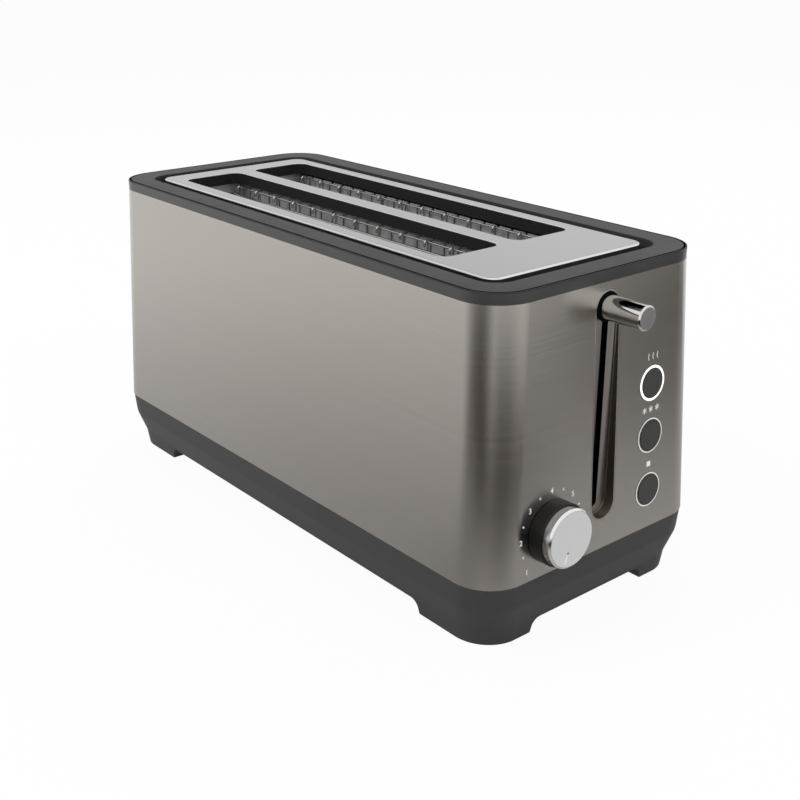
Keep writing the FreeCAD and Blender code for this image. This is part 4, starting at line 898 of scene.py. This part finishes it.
def makeGuards():
    guard = {
        "rail": 0.001, "rib": 0.0007, "pitch": 0.022, "ribs": 12, "firstX": -0.1506, "lowZ": 0.052,
        "highZ": 0.178, "topZ": 0.1842, "hook": 0.0013, "hookSteps": 8, "hookDrop": 0.0022,
    }
    low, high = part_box("bread_guard_right_inner")
    railRoutes = [[(low.x, 0, z), (high.x, 0, z)] for z in (guard["lowZ"], guard["highZ"])]
    rails = wirePiece("breadGuard", railRoutes, guard["rail"])
    hook, firstX = guard["hook"], guard["firstX"]
    crown = guard["topZ"] - guard["rib"] / 2
    routes = []
    for index in range(guard["ribs"]):
        x = firstX + index * guard["pitch"]
        route = [(x, 0, guard["lowZ"])]
        for step in range(guard["hookSteps"] + 1):
            turn = math.pi * step / guard["hookSteps"]
            route.append((x, hook - hook * math.cos(turn), crown + hook * math.sin(turn)))
        route.append((x, 2 * hook, crown - guard["hookDrop"]))
        routes.append(route)
    lastX = firstX + (guard["ribs"] - 1) * guard["pitch"]
    routes.append([(firstX, 0, guard["topZ"]), (lastX, 0, guard["topZ"])])
    pattern = joinTo(rails, [wirePiece("guardRibs", routes, guard["rib"])])
    for side, facing in (("left_inner", -1), ("left_outer", 1), ("right_inner", 1), ("right_outer", -1)):
        sideLow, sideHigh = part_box(f"bread_guard_{side}")
        railY = sideLow.y + guard["rail"] if facing > 0 else sideHigh.y - guard["rail"]
        words = side.split("_")
        made = copyOf(pattern, f"breadGuard{words[0].title()}{words[1].title()}")
        made.scale.y = facing
        made.location.y = railY
        freeze(made)
        selectFaces(made, lambda centre, normal: True)
        bpy.ops.mesh.normals_make_consistent(inside=False)
        leaveEdit()
        finishPiece(made, f"guard_{side}", "guard_wire", [f"bread_guard_{side}"], 50, weighted=False)
    bpy.data.objects.remove(pattern)


# lever, browning knob and push buttons


def makeLeverKnob():
    lever = {
        "bevel": 0.0008, "edge": 0.00012,
        "shadeDiscRadius": 0.008, "shadeDiscStart": 0.1766, "shadeDiscEnd": 0.1772, "shadeDiscSlack": 0.0001,
    }
    low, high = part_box("lever_knob")
    middle = (low + high) / 2
    piece = roundAt(middle, "leverKnob", (high.z - low.z) / 2, low.x, high.x, 128)
    bevelFront(piece, high.x, lever["bevel"], 1)
    softenEdges(piece, lever["edge"], 2, 25)
    # a black disc round the lever's root stands in for the dark gap there: painted shade
    shadeDisc = roundAt(middle, "leverWasher", lever["shadeDiscRadius"], lever["shadeDiscStart"], lever["shadeDiscEnd"])
    softenEdges(shadeDisc, lever["edge"], 2, 25)
    shadeDiscReach = lever["shadeDiscEnd"] + lever["shadeDiscSlack"]
    finishPiece(joinTo(piece, [shadeDisc]), "carriage", "lever_chrome", ["lever_knob"])
    paintFaces(piece, leverFace, lambda centre, normal: normal.x > 0.99)
    # the disc and the lever's root are painted near black: painted shade
    paintFaces(piece, deepBlack, lambda centre, normal: centre.x < shadeDiscReach)


browningKnob = {
    "gap": 0.0003,
    "baseLength": 0.0084,
    "baseRound": 0.0009,
    "capLength": 0.0054,
    "capBevel": 0.0011,
    "edge": 0.00012,
    "faceBand": 0.0001,  # depth of what counts as the cap's face
    "rootBand": 0.001,  # no pointer white this near to the base
    "cutProud": 0.001,  # how far the pointer's cutters stand out
    "pointer": {"width": 0.0007, "depth": 0.00025, "start": 0.0088, "end": 0.0138, "turn": 160},
    "dot": {"radius": 0.0006, "depth": 0.0004, "before": 0.0012},  # towards the middle from the pointer
}


def makeKnobBase():
    knob = browningKnob
    spot = panelSpot("knob_cap")
    low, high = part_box("knob_base")
    front = knob["gap"] + knob["baseLength"]
    piece = roundAt(spot, "knobBase", (high.y - low.y) / 2, knob["gap"], front, 128)
    bevelFront(piece, front, knob["baseRound"], 4)
    finishPiece(toPanel(piece), "browning_knob", "knob_black", ["knob_base"])


def makeKnobCap():
    knob, pointer, dot = browningKnob, browningKnob["pointer"], browningKnob["dot"]
    spot = panelSpot("knob_cap")
    low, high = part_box("knob_cap")
    root = knob["gap"] + knob["baseLength"]
    front = root + knob["capLength"]
    piece = roundAt(spot, "knobCap", (high.y - low.y) / 2, root, front, 128)
    bevelFront(piece, front, knob["capBevel"], 1)
    softenEdges(piece, knob["edge"], 2, 25)
    turned = Matrix.Translation((0, spot.y, spot.z)) @ Matrix.Rotation(math.radians(pointer["turn"]), 4, "X")
    half, out = pointer["width"] / 2, front + knob["cutProud"]
    grooveX, dotX = front - pointer["depth"], front - dot["depth"]
    dotZ = pointer["start"] - dot["before"]
    groove = addBox("pointerGroove", (grooveX, -half, pointer["start"]), (out, half, pointer["end"]))
    hole = addRound("pointerDot", dot["radius"], (dotX, 0, dotZ), (out, 0, dotZ), sides=24)
    for cutter in (groove, hole):
        cutter.matrix_world = turned
        combine(piece, freeze(cutter))
    finishPiece(piece, "browning_knob", "cap_aluminium", ["knob_cap"])
    face, side = front - knob["faceBand"], front - knob["capBevel"]
    paintFaces(piece, satinFace, lambda centre, normal: normal.x > 0.999 and centre.x > face)
    # the cap's side gets the darker copy of its aluminium: painted shade
    paintFaces(piece, capSide, lambda centre, normal: abs(normal.x) < 0.1 and centre.x < side)
    sunk = front - pointer["depth"] * 0.3
    clear = root + knob["rootBand"]
    # the pointer groove's faces get the white with the painted highlight glow
    paintFaces(piece, pointerWhite, lambda centre, normal: normal.x > 0.9 and clear < centre.x < sunk)
    dotCentre = turned @ Vector((front, 0, dotZ))
    reach = dot["radius"] * 1.1
    paintFaces(
        piece, pointerDark, lambda centre, normal: centre.x < sunk and fromSpot(centre, dotCentre) < reach
    )
    toPanel(piece)


pushButton = {
    "radius": 0.008,
    "proud": 0.0006,
    "edge": 0.0003,
    "depth": 0.01,  # behind the panel's face
    "ringRadius": 0.010,
    "ringInner": 0.00808,
    "ringProud": 0.00035,
    "ringEdge": 0.00012,
    "lineInner": 0.0093,  # inner radius of the white line
    "litInner": 0.0086,  # the same on the ring that is lit
    "lit": "reheat",
}


def makeLightRing(name):
    button = pushButton
    spot = panelSpot(f"{name}_light_ring")
    rim, radius = button["ringEdge"], button["ringRadius"]
    lit = name == button["lit"]
    lineInner = button["litInner"] if lit else button["lineInner"]
    piece = roundAt(spot, f"{name}Ring", radius, -button["depth"], button["ringProud"] - rim)
    selectFaces(piece, lambda centre, normal: normal.x > 0.9)
    bpy.ops.mesh.inset(thickness=rim)
    bpy.ops.transform.translate(value=(rim, 0, 0))
    bpy.ops.mesh.inset(thickness=radius - rim - lineInner)
    bpy.ops.mesh.inset(thickness=rim)
    bpy.ops.transform.translate(value=(-rim / 2, 0, 0))
    leaveEdit()
    combine(piece, roundAt(spot, "ringBore", button["ringInner"], -behind, over))
    # the unlit rings get the white with a painted glow
    glass = litWhite if lit else dimWhite
    finishPiece(piece, "frame", "ring_white", [f"{name}_light_ring"], own=glass)
    paintFaces(
        piece, finishes["button_grey"],
        lambda centre, normal: fromSpot(centre, spot) < lineInner or (normal.x < 0.3 and centre.x < 0),
    )
    toPanel(piece)


def makeButtonCap(name):
    button = pushButton
    spot = panelSpot(f"{name}_light_ring")
    piece = roundAt(spot, f"{name}Button", button["radius"], -button["depth"], button["proud"])
    bevelFront(piece, button["proud"], button["edge"], 4)
    finishPiece(toPanel(piece), f"{name}_button", "button_grey", [f"{name}_button"])


# printed marks on the panel

raisedPrint = {"proud": 0.00006, "line": 0.00042, "fatter": 0.00006}


def addStroke(y, z, length, turn):
    half = raisedPrint["line"] / 2
    stroke = addBox("stroke", (0, -half, -length / 2), (raisedPrint["proud"], half, length / 2))
    stroke.matrix_world = Matrix.Translation((0, y, z)) @ Matrix.Rotation(math.radians(turn), 4, "X")
    return freeze(stroke)


def addNumber(text, y, z, size):
    deselectAll()
    bpy.ops.object.text_add()
    number = bpy.context.object
    number.data.body = text
    number.data.align_x = "CENTER"
    number.data.align_y = "CENTER"
    number.data.size = size
    number.data.offset = raisedPrint["fatter"]
    number.data.extrude = raisedPrint["proud"]
    bpy.ops.object.convert(target="MESH")
    number = bpy.context.object
    number.matrix_world = Matrix(((0, 0, 1, 0), (1, 0, 0, y), (0, 1, 0, z), (0, 0, 0, 1)))
    return freeze(number)


def finishPrint(name, made):
    piece = joinTo(made[0], made[1:])
    piece.name = piece.data.name = name
    # the print gets the white with a painted glow
    finishPiece(toPanel(piece), "frame", "ring_white", weighted=False, own=printWhite)


def makeMarks():
    marks = {
        "count": 13, "first": 135, "step": 22.5,  # degrees from upright
        "radius": 0.0224, "endStep": 0.0032, "size": 0.0042, "dot": 0.00062,
    }
    spot = panelSpot("knob_cap")
    ends = (0, marks["count"] - 1)
    made = []
    for index in range(marks["count"]):
        angle = math.radians(marks["first"] - index * marks["step"])
        radius = marks["radius"] + (marks["endStep"] if index in ends else 0)
        y = spot.y - radius * math.sin(angle)
        z = spot.z + radius * math.cos(angle)
        if index % 2:
            made.append(addRound("dialDot", marks["dot"], (0, y, z), (raisedPrint["proud"], y, z), sides=24))
            continue
        made.append(addNumber(str(index // 2 + 1), y, z, marks["size"]))
    finishPrint("dialMarks", made)


def makeIcons():
    icons = {
        "rise": 0.0153, "tall": 0.0036, "square": 0.0030,
        "waveStep": 0.0036, "waveTurn": 16, "waveJoin": 1.08,  # degrees, and how far its strokes overlap
        "flakeStep": 0.0052,
    }
    made = []
    spot = panelSpot("reheat_light_ring")
    half = icons["tall"] / 2
    for step in (-1, 0, 1):  # rising warm air
        y, z = spot.y + step * icons["waveStep"], spot.z + icons["rise"]
        for part in (-1, 1):
            length, turn = half * icons["waveJoin"], -part * icons["waveTurn"]
            made.append(addStroke(y, z + part * half / 2, length, turn))
    spot = panelSpot("defrost_light_ring")
    for step in (-1, 0, 1):  # ice stars
        y, z = spot.y + step * icons["flakeStep"], spot.z + icons["rise"]
        for turn in (0, 60, 120):
            made.append(addStroke(y, z, icons["tall"], turn))
    spot = panelSpot("stop_light_ring")
    y, z, half = spot.y, spot.z + icons["rise"], icons["square"] / 2
    made.append(addBox("stopSquare", (0, y - half, z - half), (raisedPrint["proud"], y + half, z + half)))
    finishPrint("buttonIcons", made)


makeShell()
makeChannel()
makeCollar()
makePlate()
print("steel body, channel, collar and plate modelled")
makeBase()
makeRearPieces()
makeHeaters()
makeGuards()
print("base, rear pieces, heaters and guards modelled")
makeLeverKnob()
makeKnobBase()
makeKnobCap()
for name in buttonNames:
    makeLightRing(name)
    makeButtonCap(name)
makeMarks()
makeIcons()
print("controls modelled")


# camera, lamps, floor and cards


def makeCamera():
    camera = {"place": (0.55082, -0.44750, 0.35445), "back": (0.71310, -0.59381, 0.37267), "lens": 53.326}
    data = bpy.data.cameras.new("camera")
    data.lens = camera["lens"]
    data.sensor_width = 36
    data.clip_start = 0.01
    holder = bpy.data.objects.new("camera", data)
    bpy.context.scene.collection.objects.link(holder)
    holder.location = camera["place"]
    holder.rotation_mode = "QUATERNION"
    holder.rotation_quaternion = (-Vector(camera["back"])).to_track_quat("-Z", "Y")
    bpy.context.scene.camera = holder


def makeLamp(name, place, size, power):
    aim = Vector((0, 0, 0.1))
    data = bpy.data.lights.new(name, "AREA")
    data.shape = "RECTANGLE"
    data.size, data.size_y = size
    data.energy = power
    lamp = bpy.data.objects.new(name, data)
    bpy.context.scene.collection.objects.link(lamp)
    lamp.location = place
    lamp.rotation_mode = "QUATERNION"
    lamp.rotation_quaternion = (aim - Vector(place)).to_track_quat("-Z", "Y")
    lamp.visible_glossy = False  # the metal shows the white studio, not the lamps


def seenAsBackground(nodes, links):
    rays = nodes.new("ShaderNodeLightPath").outputs
    seen = mathNode(nodes, links, "MAXIMUM", rays["Is Camera Ray"], rays["Is Glossy Ray"])
    return mathNode(nodes, links, "MAXIMUM", seen, rays["Is Transmission Ray"])


def makeWorld():
    studio = {"ambient": 0.5, "shown": 1.0}
    world = bpy.data.worlds.new("studio")
    bpy.context.scene.world = world
    world.use_nodes = True
    nodes, links = world.node_tree.nodes, world.node_tree.links
    ambient = nodes["Background"]
    ambient.inputs["Color"].default_value = (1, 1, 1, 1)
    ambient.inputs["Strength"].default_value = studio["ambient"]
    shown = nodes.new("ShaderNodeBackground")
    shown.inputs["Color"].default_value = (1, 1, 1, 1)
    shown.inputs["Strength"].default_value = studio["shown"]
    mixShaders(nodes, links, seenAsBackground(nodes, links), ambient, shown, "World Output")


def makeFloor():
    ground = {"size": 16, "colour": 0.9, "glow": 0.95}  # white, with a trace of the shadow
    deselectAll()
    bpy.ops.mesh.primitive_plane_add(size=ground["size"])
    floor = nameIt("floor")
    material, nodes, links, shader = newMaterial("floorWhite")
    shader.inputs["Base Color"].default_value = (*even(ground["colour"]), 1)
    shader.inputs["Roughness"].default_value = 1.0
    shader.inputs["Specular IOR Level"].default_value = 0.0
    glow = nodes.new("ShaderNodeEmission")
    share = mathNode(nodes, links, "MULTIPLY", seenAsBackground(nodes, links), ground["glow"])
    mixShaders(nodes, links, share, shader, glow, "Material Output")
    floor.data.materials.append(material)


def makeCard(name, place, half, strength, soft=True, standing=None, raised=0, tint=(0.020, 0.011, 0.002)):
    deselectAll()
    bpy.ops.mesh.primitive_plane_add(size=2, location=place)
    card = nameIt(name)
    card.scale = (half[0], half[1], 1)
    if standing is not None:  # the way from the object to the card, in degrees
        card.rotation_euler = (math.radians(90 - raised), 0, math.radians(standing + 90))
    material, nodes, links, shader = newMaterial(name)
    nodes.remove(shader)
    dark = nodes.new("ShaderNodeEmission")
    dark.inputs["Color"].default_value = (*tint, 1)
    clear = nodes.new("ShaderNodeBsdfTransparent")
    share = strength
    if soft:
        where = nodes.new("ShaderNodeTexCoord")
        fade = nodes.new("ShaderNodeTexGradient")
        fade.gradient_type = "SPHERICAL"
        links.new(where.outputs["Object"], fade.inputs["Vector"])
        share = mathNode(nodes, links, "MULTIPLY", fade.outputs["Fac"], strength)
    mixShaders(nodes, links, share, clear, dark, "Material Output")
    card.data.materials.append(material)
    card.visible_camera = card.visible_diffuse = card.visible_shadow = False
    card.visible_transmission = card.visible_volume_scatter = False


def makeCards():  # dark studio cards that only the metal's reflections show
    makeCard(
        "leverFlag", (-4.19, 0.78, 4.18), (3.30, 1.44), 1.0,
        soft=False, standing=170, raised=43, tint=(0, 0, 0),
    )
    makeCard("cornerShade", (0.12, -0.14, 0.0010), (0.90, 0.90), 0.64)
    makeCard("frontShade", (0.50, -0.15, 0.0012), (0.25, 0.25), 1.9)
    makeCard("frontSpot", (0.48, 0.05, 0.0014), (0.18, 0.18), 2.0)
    makeCard("cornerSpot", (0.40, -0.38, 0.0016), (0.27, 0.27), 2.0)
    makeCard("sideStrip", (0.13, -0.50, 0.0018), (0.13, 0.42), 0.8)
    makeCard("panelShade", (0.50, 0.40, 0.0020), (0.42, 0.42), 0.95)
    makeCard("sideWall", (0.27, -0.47, 0), (0.33, 0.34), 1.3, standing=-90)
    makeCard("frontWall", (0.60, -0.20, 0), (0.40, 0.12), 1.6, standing=0)
    makeCard("panelWall", (0.505, 0.54, 0), (0.30, 0.28), 1.2, standing=59)
    makeCard("edgeWall", (0.25, 0.42, 0.08), (0.11, 0.10), 0.9, standing=90)


makeCamera()
makeWorld()
makeFloor()
makeLamp("keyLamp", (-0.7, -1.5, 1.5), (1.2, 0.9), 22)
makeLamp("fillLamp", (1.6, 0.3, 1.3), (0.8, 0.8), 8)
makeLamp("backLamp", (-0.6, 1.4, 1.6), (1.0, 0.5), 10)
makeCards()
print("camera, lamps, floor and cards made")
